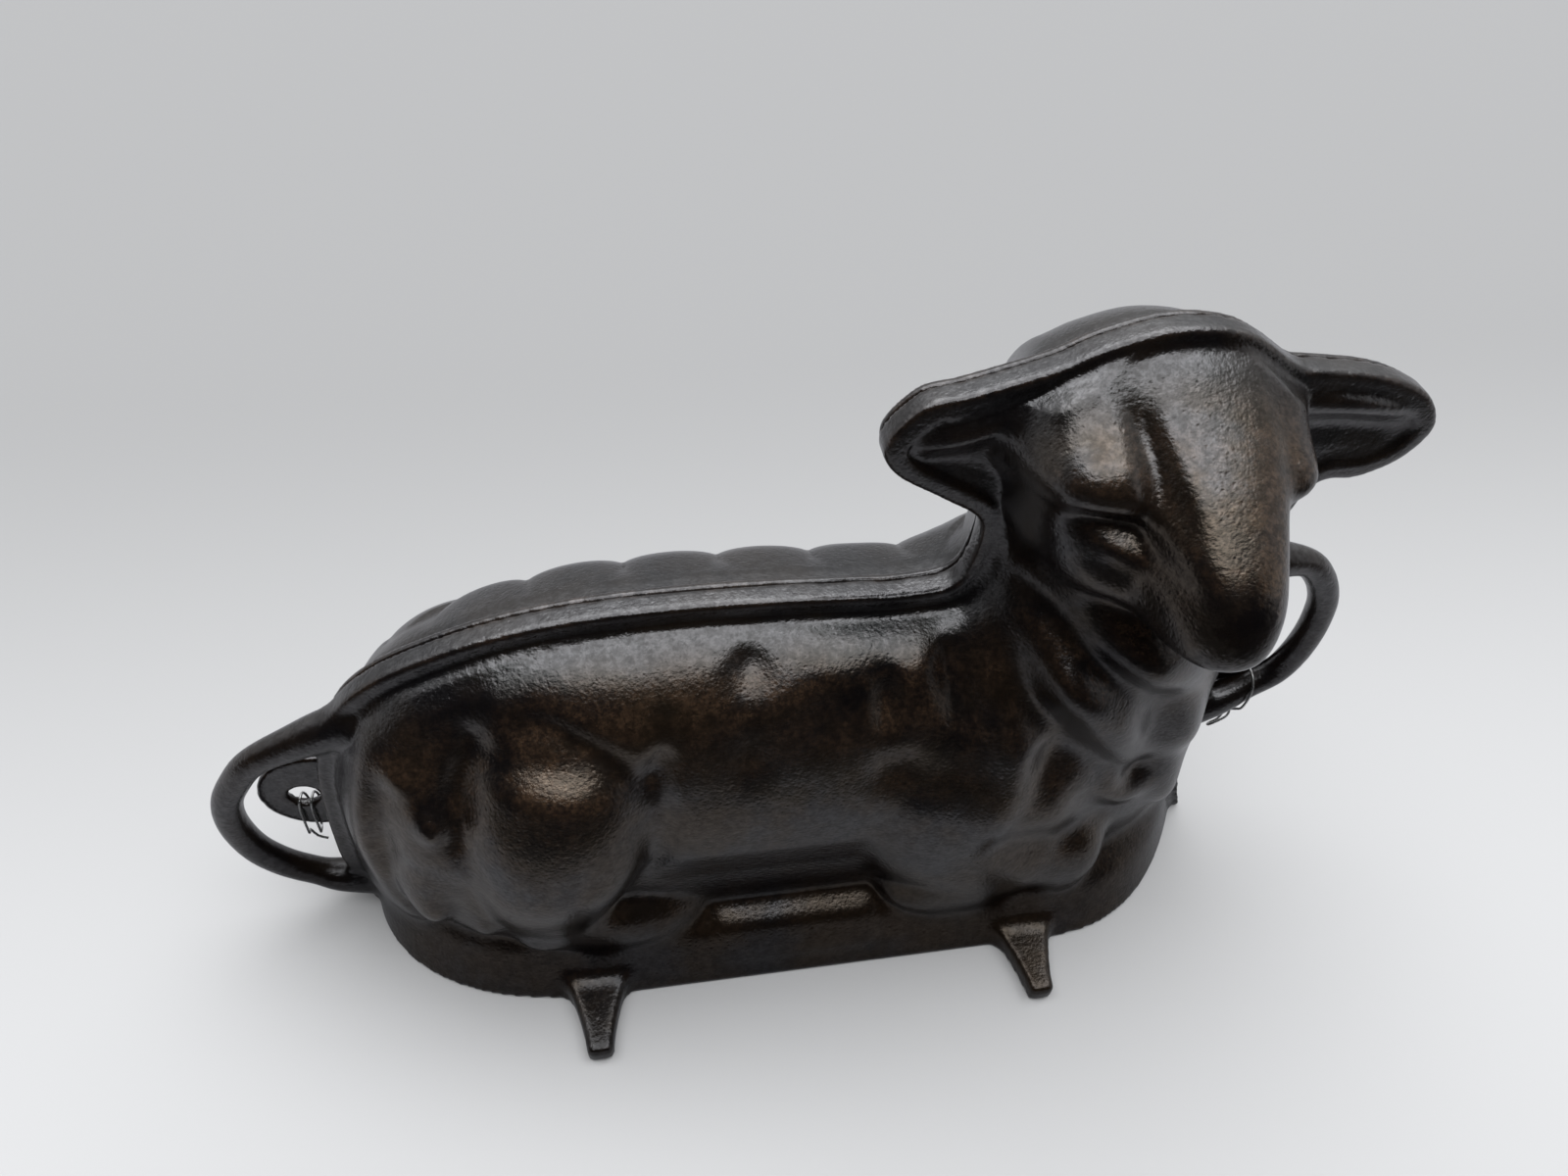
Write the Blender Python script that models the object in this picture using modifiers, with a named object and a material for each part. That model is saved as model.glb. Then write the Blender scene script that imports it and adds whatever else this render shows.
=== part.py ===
"""Lamb cake mould: two cast-iron halves that close on an upright seam.

The seam is the plane Y = 0 of the mould's own frame. The base stands on Z = 0,
the head is at the +X end, and the face half lies in front, toward -Y.
Every length is in metres.
"""
import collections
import math

import bmesh
import bpy
import numpy as np
from mathutils import Matrix

# Castings
WALL = 0.0040
SEAM_GAP = 0.0003
RIM_MARGIN = 0.0045
FRONT_RIM = 0.0070
BACK_RIM = 0.0030
BACK_RIM_INSET = 0.0006

# Rim outline: the landmarks that the rest of the outline is drawn from
RUMP_X = 0.0285
CHEST_X = 0.3025
BASE_FLARE = 0.0110
BACK_TOP = 0.1260
NAPE_X = 0.2120
EAR_LEFT_X, EAR_LEFT_Z = 0.1835, 0.1745
EAR_RIGHT_X, EAR_RIGHT_Z = 0.3265, 0.1710
CROWN_X, CROWN_Z = 0.2500, 0.2030

# Base plan
BASE_FRONT = 0.0505
BASE_BACK = 0.0480
BASE_LEFT_ROUND = 0.0840
BASE_RIGHT_ROUND = 0.0690
PLINTH_HEIGHT = 0.0170
PLINTH_DRAFT = 0.50

# Panel of the plinth, left bare
PANEL_LEFT, PANEL_RIGHT, PANEL_TOP = 0.1410, 0.1910, 0.0225

# Barrel: how far in the rounding runs, and its depth in front of the seam at rising levels
BARREL_ROUND = 0.0550
BARREL_POWER = 2.2
BARREL_LEVELS = (0.000, 0.024, 0.044, 0.060, 0.072, 0.085, 0.126, 0.136, 0.160)
BARREL_DEPTHS = (0.030, 0.032, 0.036, 0.0405, 0.0405, 0.0395, 0.0395, 0.031, 0.028)
CHEST_START, CHEST_SLIM = 0.2500, 0.84
BACK_ROUND, BACK_BARREL = 0.0450, 0.0450

# Head: the muzzle's middle, the skull's middle and the bare rim's narrowing over the forehead
MUZZLE_X = 0.2545
SKULL_X = 0.2495
FOREHEAD_NARROWING = 0.0022

# Ears: the floor inside their raised rim
EAR_FLOOR = 0.0046
LEFT_EAR_ROOT, RIGHT_EAR_ROOT = 0.2280, 0.2720
LEFT_EAR_LOW, RIGHT_EAR_LOW = 0.1460, 0.1420

# Rounding of every crease, as sand casting leaves it, and the softer wool of the chest
CAST_SOFTNESS = 0.0015
WOOL_SOFTNESS = 0.0026

# A lobe is half a swollen disc that stands on the relief: centre, half sizes,
# the depth of its foot, how far it rises from there, its turn in degrees and
# the power of its roundness
Lobe = collections.namedtuple("Lobe", "x z half_x half_z foot rise turn power", defaults=(0.0, 2.0))

# Fleece of the back half: domed locks in offset rows
LOCK_PITCH_X, LOCK_PITCH_Z = 0.0270, 0.0200
LOCK_RISE = 0.0042
SKULL_BACK = Lobe(0.2520, 0.1560, 0.0300, 0.0340, 0.002, 0.020, 0, 1.6)

# Loop handles: round bars whose centre line runs through these points (x, z)
BAR_RADIUS = 0.0043
BAR_DEPTH = 0.0040
LEFT_LOOP_REACH = 0.0255
RIGHT_LOOP_REACH = 0.0255
LEFT_LOOP_X = RUMP_X - LEFT_LOOP_REACH
RIGHT_LOOP_X = CHEST_X + RIGHT_LOOP_REACH
ROOT_THICKENING = 1.45

# Feet: tongues at the base, tapered from root to tip
FOOT_CENTRES = (0.1038, 0.2400)
FOOT_REACH = 0.0695
FOOT_ROOT_WIDTH, FOOT_TIP_WIDTH = 0.0210, 0.0076
FOOT_ROOT_HEIGHT, FOOT_TIP_HEIGHT = 0.0072, 0.0064
FOOT_FLARE = 1.6
FOOT_STEPS = 6
FOOT_EDGE = 0.0016

# Lugs of the back half, and the holes in them
LEFT_LUG_X, LEFT_LUG_Z, LEFT_LUG_RADIUS = 0.0270, 0.0510, 0.0165
LEFT_HOLE_X, LEFT_HOLE_Z, LEFT_HOLE_RADIUS = 0.0230, 0.0500, 0.0045
RIGHT_LUG_X, RIGHT_LUG_Z, RIGHT_LUG_RADIUS = 0.3120, 0.0735, 0.0115
RIGHT_HOLE_X, RIGHT_HOLE_Z, RIGHT_HOLE_RADIUS = 0.3155, 0.0755, 0.0040

# Wire ties
WIRE_RADIUS = 0.00038
WIRE_CLEARANCE = 0.0004
LEFT_TURNS = 2
LEFT_TURN_PITCH = 0.0034
LEFT_TURN_DROP = 0.0040
TURN_POINTS = 24

# Grid spacing of the reliefs, and the share of their faces that is kept
GRID = 0.0020
OUTER_SHARE = 0.084
HOLLOW_SHARE = 0.042
OVERSHOOT = 0.0050

# The origin is the middle of the whole mould's footprint
MIDDLE_X = (LEFT_LOOP_X + RIGHT_LOOP_X) / 2
SEAM_Y = (FOOT_REACH - BASE_BACK) / 2


def clear_scene():
    for thing in list(bpy.data.objects):
        bpy.data.objects.remove(thing, do_unlink=True)


def iron(name, colour, roughness, metallic):
    material = bpy.data.materials.new(name)
    material.use_nodes = True
    shader = material.node_tree.nodes["Principled BSDF"]
    shader.inputs["Base Color"].default_value = (*colour, 1)
    shader.inputs["Roughness"].default_value = roughness
    shader.inputs["Metallic"].default_value = metallic
    material.diffuse_color = (*colour, 1)
    return material


def new_collection(name):
    collection = bpy.data.collections.new(name)
    bpy.context.scene.collection.children.link(collection)
    return collection


def put(name, mesh, collection, frame):
    thing = bpy.data.objects.new(name, mesh)
    collection.objects.link(thing)
    thing.parent = frame
    return thing


def make_cutter(thing):
    thing.hide_render = True
    thing.display_type = "WIRE"


def boolean(thing, other, operation):
    """MANIFOLD, as EXACT leaves open slivers where the thinned relief grazes the rim's face."""
    modifier = thing.modifiers.new(operation.lower() + " " + other.name, "BOOLEAN")
    modifier.operation = operation
    modifier.solver = "MANIFOLD"
    modifier.object = other
    make_cutter(other)


def mesh_from_curve(name, curve, collection, frame, matrix=Matrix()):
    """The curve's solid as a mesh object, with its caps welded to its sides."""
    guide = bpy.data.objects.new(name + " guide", curve)
    bpy.context.scene.collection.objects.link(guide)
    graph = bpy.context.evaluated_depsgraph_get()
    mesh = bpy.data.meshes.new_from_object(guide.evaluated_get(graph))
    bpy.data.objects.remove(guide, do_unlink=True)
    body = bmesh.new()
    body.from_mesh(mesh)
    bmesh.ops.remove_doubles(body, verts=body.verts, dist=1e-6)
    bmesh.ops.transform(body, matrix=matrix, verts=body.verts)
    bmesh.ops.recalc_face_normals(body, faces=body.faces)
    body.to_mesh(mesh)
    body.free()
    mesh.name = name
    return put(name, mesh, collection, frame)


def plate(name, points, near, far, collection, frame):
    """A flat plate with the outline points (x, z), from Y = near to Y = far."""
    curve = bpy.data.curves.new(name, "CURVE")
    curve.dimensions = "2D"
    curve.fill_mode = "BOTH"
    curve.extrude = abs(far - near) / 2
    spline = curve.splines.new("POLY")
    spline.points.add(len(points) - 1)
    for point, (x, z) in zip(spline.points, points):
        point.co = (x, z, 0, 1)
    spline.use_cyclic_u = True
    upright = Matrix.Translation((0, (near + far) / 2, 0)) @ Matrix.Rotation(math.pi / 2, 4, "X")
    return mesh_from_curve(name, curve, collection, frame, upright)


def tube(name, points, radius, collection, frame, radii=None, smooth=False, sides=2):
    """A round bar along the points, smooth or straight between them."""
    curve = bpy.data.curves.new(name, "CURVE")
    curve.dimensions = "3D"
    curve.bevel_depth = radius
    curve.bevel_resolution = sides
    curve.use_fill_caps = True
    curve.resolution_u = 3
    spline = curve.splines.new("BEZIER" if smooth else "POLY")
    knots = spline.bezier_points if smooth else spline.points
    knots.add(len(points) - 1)
    for number, (knot, point) in enumerate(zip(knots, points)):
        if smooth:
            knot.co = point
            knot.handle_left_type = knot.handle_right_type = "AUTO"
        else:
            knot.co = (*point, 1)
        knot.radius = radii[number] if radii else 1
    thing = mesh_from_curve(name, curve, collection, frame)
    thing.data.shade_smooth()
    return thing


def disc(name, x, z, radius, near, far, collection, frame):
    bpy.ops.mesh.primitive_cylinder_add(vertices=40, radius=radius, depth=abs(far - near))
    thing = bpy.context.object
    mesh = thing.data
    bpy.data.objects.remove(thing, do_unlink=True)
    mesh.transform(Matrix.Rotation(math.pi / 2, 4, "X"))
    mesh.transform(Matrix.Translation((x, (near + far) / 2, z)))
    return put(name, mesh, collection, frame)


def block(name, low, high, collection, frame):
    bpy.ops.mesh.primitive_cube_add(size=1)
    thing = bpy.context.object
    mesh = thing.data
    bpy.data.objects.remove(thing, do_unlink=True)
    size = [b - a for a, b in zip(low, high)]
    centre = [(a + b) / 2 for a, b in zip(low, high)]
    mesh.transform(Matrix.Translation(centre) @ Matrix.Diagonal((*size, 1)))
    return put(name, mesh, collection, frame)


def rim_anchors():
    """The rim's outer edge, from the rump's foot over the back and head to the chest's foot."""
    left, right = EAR_LEFT_X, EAR_RIGHT_X
    return [
        (RUMP_X + 0.0055, 0.0),
        (RUMP_X + 0.0015, 0.0140),
        (RUMP_X, 0.0290),
        (RUMP_X + 0.0025, 0.0620),
        (RUMP_X + 0.0065, BACK_TOP - 0.0460),
        (RUMP_X + 0.0135, BACK_TOP - 0.0310),
        (RUMP_X + 0.0235, BACK_TOP - 0.0210),
        (RUMP_X + 0.0370, BACK_TOP - 0.0135),
        (RUMP_X + 0.0585, BACK_TOP - 0.0057),
        (RUMP_X + 0.0850, BACK_TOP - 0.0011),
        (RUMP_X + 0.1190, BACK_TOP),
        (NAPE_X - 0.0320, BACK_TOP - 0.0014),
        (NAPE_X - 0.0180, BACK_TOP - 0.0021),
        (NAPE_X - 0.0040, BACK_TOP + 0.0003),
        (NAPE_X, BACK_TOP + 0.0110),
        (NAPE_X - 0.0010, EAR_LEFT_Z - 0.0255),
        (left + 0.0165, EAR_LEFT_Z - 0.0173),
        (left + 0.0035, EAR_LEFT_Z - 0.0085),
        (left, EAR_LEFT_Z + 0.0005),
        (left + 0.0080, EAR_LEFT_Z + 0.0108),
        (left + 0.0185, EAR_LEFT_Z + 0.0135),
        (CROWN_X - 0.0290, CROWN_Z - 0.0092),
        (CROWN_X - 0.0180, CROWN_Z - 0.0040),
        (CROWN_X - 0.0020, CROWN_Z),
        (CROWN_X + 0.0150, CROWN_Z - 0.0024),
        (CROWN_X + 0.0310, CROWN_Z - 0.0120),
        (CROWN_X + 0.0380, CROWN_Z - 0.0135),
        (right - 0.0245, EAR_RIGHT_Z + 0.0165),
        (right - 0.0140, EAR_RIGHT_Z + 0.0133),
        (right - 0.0050, EAR_RIGHT_Z + 0.0080),
        (right, EAR_RIGHT_Z - 0.0010),
        (right - 0.0045, EAR_RIGHT_Z - 0.0105),
        (right - 0.0145, EAR_RIGHT_Z - 0.0160),
        (CHEST_X - 0.0015, EAR_RIGHT_Z - 0.0175),
        (CHEST_X - 0.0055, EAR_RIGHT_Z - 0.0330),
        (CHEST_X - 0.0045, 0.1250),
        (CHEST_X, 0.0750),
        (CHEST_X + 0.0020, 0.0400),
        (CHEST_X + BASE_FLARE / 2, 0.0170),
        (CHEST_X + BASE_FLARE, 0.0),
    ]


def smooth_line(anchors, parts=3):
    """Points on a curve that passes through every anchor."""
    known = np.array([anchors[0], *anchors, anchors[-1]])
    steps = np.linspace(0, 1, parts, endpoint=False)[:, None]
    spans = []
    for before, start, end, after in zip(known, known[1:], known[2:], known[3:]):
        bend = 2 * before - 5 * start + 4 * end - after
        twist = 3 * start - before - 3 * end + after
        spans.append(start + 0.5 * ((end - before) * steps + bend * steps**2 + twist * steps**3))
    return np.vstack([*spans, known[-1:]])


def distance_inside(x, z, line):
    """How far each point lies inside the line, which is open along the base."""
    nearest = np.full(np.shape(x), np.inf)
    crossings = np.zeros(np.shape(x), int)
    for (x0, z0), (x1, z1) in zip(line, line[1:]):
        run, rise = x1 - x0, z1 - z0
        along = np.clip(((x - x0) * run + (z - z0) * rise) / (run * run + rise * rise), 0, 1)
        nearest = np.minimum(nearest, np.hypot(x - x0 - along * run, z - z0 - along * rise))
        height = z0 + (np.clip(x, min(x0, x1), max(x0, x1)) - x0) * rise / (run or 1e-12)
        spans = (x >= min(x0, x1)) & (x < max(x0, x1))
        crossings += spans & (height > z)
    return np.where(crossings % 2 == 1, nearest, -nearest)


def inset_line(line, inset):
    """The line moved inward, without the stretches that would cross themselves."""
    ahead = np.gradient(line, axis=0)
    ahead /= np.linalg.norm(ahead, axis=1)[:, None]
    inward = np.stack([ahead[:, 1], -ahead[:, 0]], axis=1)
    moved = line + inset * inward
    depth = distance_inside(moved[:, 0], moved[:, 1], line)
    return moved[depth > inset - 0.0002]


def closed_at(line, low):
    """The line with its two ends run straight down to the level low."""
    above = line[line[:, 1] > low + 0.001]
    return [(above[0][0], low), *map(tuple, above), (above[-1][0], low)]


def local(x, z, lobe):
    """Position across and along a turned lobe, one at its edge."""
    cosine, sine = math.cos(math.radians(lobe.turn)), math.sin(math.radians(lobe.turn))
    across = ((x - lobe.x) * cosine + (z - lobe.z) * sine) / lobe.half_x
    along = ((z - lobe.z) * cosine - (x - lobe.x) * sine) / lobe.half_z
    return across, along


def lobe_depth(x, z, lobe):
    across, along = local(x, z, lobe)
    square = across**2 + along**2
    dome = lobe.foot + lobe.rise * np.maximum(1 - square ** (lobe.power / 2), 0) ** (1 / lobe.power)
    fall = lobe.foot - 0.04 * np.clip(np.sqrt(square) - 1, 0, 3)
    return np.where(square < 1, dome, fall)


def swell(x, z, at_x, at_z, half_x, half_z, height, turn=0.0):
    """A soft bump, or a dent where height is below nought."""
    across, along = local(x, z, Lobe(at_x, at_z, half_x, half_z, 0, 0, turn))
    return height * np.exp(-(across**2) - along**2)


def stroke(x, z, height, width, *points):
    """A ridge along a curve that fades at both ends, or a crease where height is below nought."""
    route = smooth_line(points, parts=4)
    strength = np.sin(np.linspace(0.12, math.pi - 0.12, len(route))) ** 0.6
    nearest = np.full(np.shape(x), np.inf)
    share = np.zeros(np.shape(x))
    for (x0, z0), (x1, z1), first, last in zip(route, route[1:], strength, strength[1:]):
        run, rise = x1 - x0, z1 - z0
        along = np.clip(((x - x0) * run + (z - z0) * rise) / (run * run + rise * rise), 0, 1)
        away = np.hypot(x - x0 - along * run, z - z0 - along * rise)
        share = np.where(away < nearest, first + (last - first) * along, share)
        nearest = np.minimum(nearest, away)
    return height * share * np.exp(-((nearest / width) ** 2))


def blend(first, second, width):
    """The deeper of two reliefs, with a fillet of this width where they meet."""
    share = np.clip(0.5 + 0.5 * (first - second) / width, 0, 1)
    return second + (first - second) * share + width * share * (1 - share)


def ramp(value, low, high):
    share = np.clip((value - low) / (high - low), 0, 1)
    return share * share * (3 - 2 * share)


def soften(depth, spread):
    """Rounds every crease and ridge over this distance."""
    reach = math.ceil(3 * spread / GRID)
    weights = np.exp(-0.5 * (np.arange(-reach, reach + 1) * GRID / spread) ** 2)
    for axis in (0, 1):
        padded = np.pad(depth, [(reach, reach) if n == axis else (0, 0) for n in (0, 1)], "edge")
        parts = [np.take(padded, range(k, k + depth.shape[axis]), axis) for k in range(2 * reach + 1)]
        depth = sum(weight * part for weight, part in zip(weights / weights.sum(), parts))
    return depth


def base_plan(x, depth):
    """How far the base reaches from the seam at its foot."""
    left_end, right_end = RUMP_X + 0.0055, CHEST_X + BASE_FLARE
    left = np.clip((left_end + BASE_LEFT_ROUND - x) / BASE_LEFT_ROUND, 0, 1)
    right = np.clip((x - right_end + BASE_RIGHT_ROUND) / BASE_RIGHT_ROUND, 0, 1)
    return depth * np.minimum(np.sqrt(1 - left**2.7), 1 - right**2.6)


def plinth(x, z, depth):
    """The strip round the base, which slopes back and ends where the body rises."""
    strip = base_plan(x, depth) - PLINTH_DRAFT * z
    return strip - np.maximum(z - PLINTH_HEIGHT, 0)


def barrel(inset, width, full):
    """The body's side, rounded from the rim to its full depth."""
    share = np.clip(inset / width, 0, 1)
    return full * np.sqrt(np.maximum(1 - (1 - share) ** BARREL_POWER, 0))


def ear_share(x, z):
    """One on the ears and nought on the head, with a soft change between them."""
    left = ramp(x, LEFT_EAR_ROOT, LEFT_EAR_ROOT - 0.014) * ramp(z, LEFT_EAR_LOW, LEFT_EAR_LOW + 0.008)
    right = ramp(x, RIGHT_EAR_ROOT, RIGHT_EAR_ROOT + 0.014) * ramp(z, RIGHT_EAR_LOW, RIGHT_EAR_LOW + 0.008)
    return np.maximum(left, right)


def rim_margin(x, z):
    """The rim's bare edge, narrower over the forehead."""
    forehead = ramp(z, 0.172, 0.190) * ramp(x, 0.214, 0.224) * ramp(x, 0.290, 0.280)
    return RIM_MARGIN - FOREHEAD_NARROWING * forehead


def ears(x, z, inset):
    """A fold of skin along the middle of each ear, between a groove and a slit."""
    depth = EAR_FLOOR + 0.0006 * ramp(inset, 0.002, 0.008)
    for height, width, *points in (
        (0.0050, 0.0044, (0.190, 0.1735), (0.197, 0.176), (0.206, 0.179), (0.215, 0.183), (0.223, 0.187)),
        (-0.0030, 0.0030, (0.194, 0.170), (0.201, 0.1685), (0.209, 0.1665), (0.217, 0.164)),
        (0.0020, 0.0040, (0.191, 0.165), (0.198, 0.160), (0.207, 0.156), (0.216, 0.153)),
        (0.0050, 0.0044, (0.318, 0.175), (0.309, 0.178), (0.299, 0.180), (0.289, 0.181), (0.280, 0.182)),
        (-0.0030, 0.0032, (0.315, 0.170), (0.306, 0.171), (0.296, 0.172), (0.286, 0.171)),
        (0.0020, 0.0040, (0.318, 0.163), (0.310, 0.159), (0.300, 0.157), (0.290, 0.155)),
    ):
        depth = depth + stroke(x, z, height, width, *points)
    return depth


def loft(x, z, centre, power, *levels):
    """A form given by sections: each level is (z, depth in the middle, depth at the side, half width)."""
    rows = smooth_line(levels, parts=5)
    middle = np.interp(z, rows[:, 0], rows[:, 1], left=-0.06, right=-0.06)
    side = np.interp(z, rows[:, 0], rows[:, 2], left=-0.06, right=-0.06)
    half = np.interp(z, rows[:, 0], rows[:, 3])
    across = np.abs(x - centre) / half
    dome = side + (middle - side) * np.maximum(1 - across**power, 0) ** (1 / power)
    return np.where(across < 1, dome, side - 0.09 * (across - 1))


def skull(x, z):
    return loft(
        x, z, SKULL_X, 2.3,
        (0.138, 0.022, 0.006, 0.018), (0.143, 0.027, 0.008, 0.024), (0.147, 0.034, 0.009, 0.029),
        (0.153, 0.0365, 0.009, 0.032), (0.161, 0.0375, 0.009, 0.033), (0.168, 0.0375, 0.009, 0.034),
        (0.173, 0.037, 0.008, 0.034), (0.177, 0.035, 0.008, 0.034), (0.181, 0.0315, 0.008, 0.034),
        (0.187, 0.0235, 0.007, 0.033), (0.193, 0.014, 0.006, 0.031), (0.199, 0.0045, 0.003, 0.029),
    )


def muzzle(x, z):
    return loft(
        x, z, MUZZLE_X, 2.2,
        (0.141, 0.034, 0.028, 0.008), (0.1425, 0.048, 0.030, 0.0105), (0.1445, 0.056, 0.034, 0.013),
        (0.1485, 0.061, 0.038, 0.0144), (0.1535, 0.062, 0.038, 0.0154), (0.160, 0.061, 0.034, 0.016),
        (0.165, 0.0585, 0.030, 0.016), (0.171, 0.0525, 0.027, 0.016), (0.177, 0.0425, 0.023, 0.0156),
        (0.183, 0.031, 0.017, 0.015), (0.190, 0.017, 0.008, 0.014), (0.199, 0.000, -0.006, 0.014),
    )


def knee(x, z):
    return loft(
        x, z, 0.1005, 2.3,
        (0.018, 0.036, 0.030, 0.008), (0.028, 0.042, 0.032, 0.012), (0.038, 0.0465, 0.032, 0.017),
        (0.048, 0.0495, 0.031, 0.0205), (0.058, 0.051, 0.030, 0.022), (0.066, 0.050, 0.030, 0.0225),
        (0.074, 0.0485, 0.029, 0.0225), (0.081, 0.0465, 0.028, 0.022), (0.087, 0.044, 0.027, 0.0205),
        (0.091, 0.0415, 0.026, 0.0185), (0.094, 0.0375, 0.025, 0.0155), (0.097, 0.033, 0.023, 0.011),
        (0.099, 0.029, 0.021, 0.007),
    )


def with_lobes(x, z, depth, width, *lobes):
    """The relief with these lobes blended into it, one after another."""
    for lobe in lobes:
        depth = blend(depth, lobe_depth(x, z, Lobe(*lobe)), width)
    return depth


def with_strokes(x, z, depth, *strokes):
    """The relief with these ridges and creases: each is (height, width, points along it)."""
    for height, width, *points in strokes:
        depth = depth + stroke(x, z, height, width, *points)
    return depth


def with_swells(x, z, depth, *swells):
    """The relief with these bumps and dents: each is (x, z, half sizes, height, turn)."""
    for one in swells:
        depth = depth + swell(x, z, *one)
    return depth


def head(x, z, depth):
    depth = blend(depth, skull(x, z), 0.004)
    depth = with_lobes(x, z, depth, 0.006, (0.230, 0.1745, 0.014, 0.009, 0.024, 0.0105))
    depth = with_lobes(x, z, depth, 0.006, (0.274, 0.175, 0.009, 0.008, 0.020, 0.013))
    depth = blend(depth, muzzle(x, z), 0.010)
    depth = with_strokes(
        x, z, depth,
        (-0.0075, 0.0038, (0.215, 0.171), (0.223, 0.170), (0.231, 0.1685), (0.238, 0.167), (0.243, 0.162)),
        (-0.0024, 0.0030, (0.223, 0.1615), (0.230, 0.1595), (0.238, 0.157)),
        (-0.0055, 0.0032, (0.236, 0.190), (0.2375, 0.185), (0.240, 0.179), (0.242, 0.173)),
        (-0.0040, 0.0032, (0.283, 0.172), (0.278, 0.1685), (0.271, 0.167)),
    )
    return with_swells(
        x, z, depth,
        (0.230, 0.1655, 0.007, 0.0032, 0.0034, -18),
        (0.276, 0.163, 0.005, 0.004, 0.0024),
    )


def flank_marks(x, z):
    """Dents and ridges of the fleece along the flank."""
    marks = with_swells(
        x, z, np.zeros(np.shape(x)),
        (0.1525, 0.115, 0.006, 0.005, -0.0044),
        (0.145, 0.119, 0.006, 0.004, 0.0014),
        (0.162, 0.110, 0.007, 0.005, 0.0010),
        (0.171, 0.104, 0.008, 0.006, -0.0020),
        (0.176, 0.114, 0.008, 0.005, 0.0014),
        (0.149, 0.098, 0.006, 0.007, -0.0016),
        (0.195, 0.115, 0.008, 0.007, 0.0024),
        (0.187, 0.105, 0.004, 0.007, -0.0032),
        (0.191, 0.087, 0.007, 0.006, -0.0036),
    )
    return with_strokes(
        x, z, marks,
        (-0.0060, 0.0050, (0.206, 0.126), (0.2065, 0.115), (0.208, 0.106), (0.211, 0.097)),
        (-0.0040, 0.0050, (0.220, 0.130), (0.222, 0.116), (0.226, 0.103), (0.232, 0.094)),
    )


def haunch(x, z, depth):
    """The folded hind leg under its fleece, with the knee and then the hoof at its right."""
    depth = with_lobes(
        x, z, depth, 0.006,
        (0.085, 0.054, 0.032, 0.050, 0.018, 0.021, 0, 2.2),
        (0.068, 0.045, 0.011, 0.019, 0.022, 0.015, 8),
        (0.082, 0.038, 0.014, 0.020, 0.024, 0.019),
        (0.096, 0.037, 0.016, 0.021, 0.024, 0.022),
    )
    depth = blend(depth, knee(x, z), 0.004)
    depth = with_lobes(x, z, depth, 0.004, (0.117, 0.026, 0.025, 0.018, 0.028, 0.017, -9, 2.2))
    above_knee = (
        (0.082, 0.105), (0.090, 0.1035), (0.099, 0.102), (0.108, 0.100), (0.116, 0.096), (0.121, 0.090),
    )
    beside_knee = ((0.121, 0.095), (0.125, 0.086), (0.126, 0.074), (0.124, 0.060), (0.120, 0.048))
    depth = with_strokes(
        x, z, depth,
        (0.0034, 0.0050, (0.056, 0.097), (0.066, 0.103), (0.078, 0.106), (0.090, 0.108)),
        (-0.0050, 0.0044, (0.084, 0.101), (0.080, 0.090), (0.078, 0.077), (0.079, 0.066), (0.084, 0.053)),
        (-0.0034, 0.0036, *above_knee),
        (-0.0050, 0.0044, *beside_knee),
        (-0.0040, 0.0036, (0.129, 0.100), (0.127, 0.094), (0.124, 0.087)),
    )
    return with_swells(
        x, z, depth,
        (0.082, 0.099, 0.005, 0.004, -0.0025),
        (0.065, 0.090, 0.017, 0.018, -0.0055),
        (0.073, 0.088, 0.006, 0.005, 0.0045),
        (0.088, 0.105, 0.005, 0.004, 0.0020),
    )


def rump_fleece(x, z):
    return with_strokes(
        x, z, np.zeros(np.shape(x)),
        (0.0034, 0.0050, (0.049, 0.097), (0.046, 0.078), (0.044, 0.058), (0.048, 0.034), (0.052, 0.020)),
        (-0.0036, 0.0044, (0.056, 0.090), (0.052, 0.072), (0.052, 0.054), (0.056, 0.038), (0.062, 0.022)),
    )


def front_leg(x, z, depth):
    """The folded front leg, its hoof and the fleece that hangs over them."""
    depth = with_lobes(
        x, z, depth, 0.006,
        (0.210, 0.052, 0.026, 0.034, 0.026, 0.020, 0, 2.4),
        (0.226, 0.036, 0.028, 0.022, 0.026, 0.021, -8, 2.6),
        (0.235, 0.062, 0.012, 0.014, 0.032, 0.012),
        (0.251, 0.030, 0.014, 0.019, 0.028, 0.017, -12, 2.6),
        (0.213, 0.022, 0.021, 0.010, 0.036, 0.0095, -10, 2.6),
    )
    return with_strokes(
        x, z, depth,
        (0.0045, 0.0060, (0.223, 0.099), (0.226, 0.086), (0.225, 0.072), (0.218, 0.060)),
        (-0.0050, 0.0055, (0.232, 0.090), (0.232, 0.080), (0.228, 0.072)),
        (-0.0040, 0.0050, (0.245, 0.068), (0.254, 0.059), (0.263, 0.046)),
    )


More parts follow.
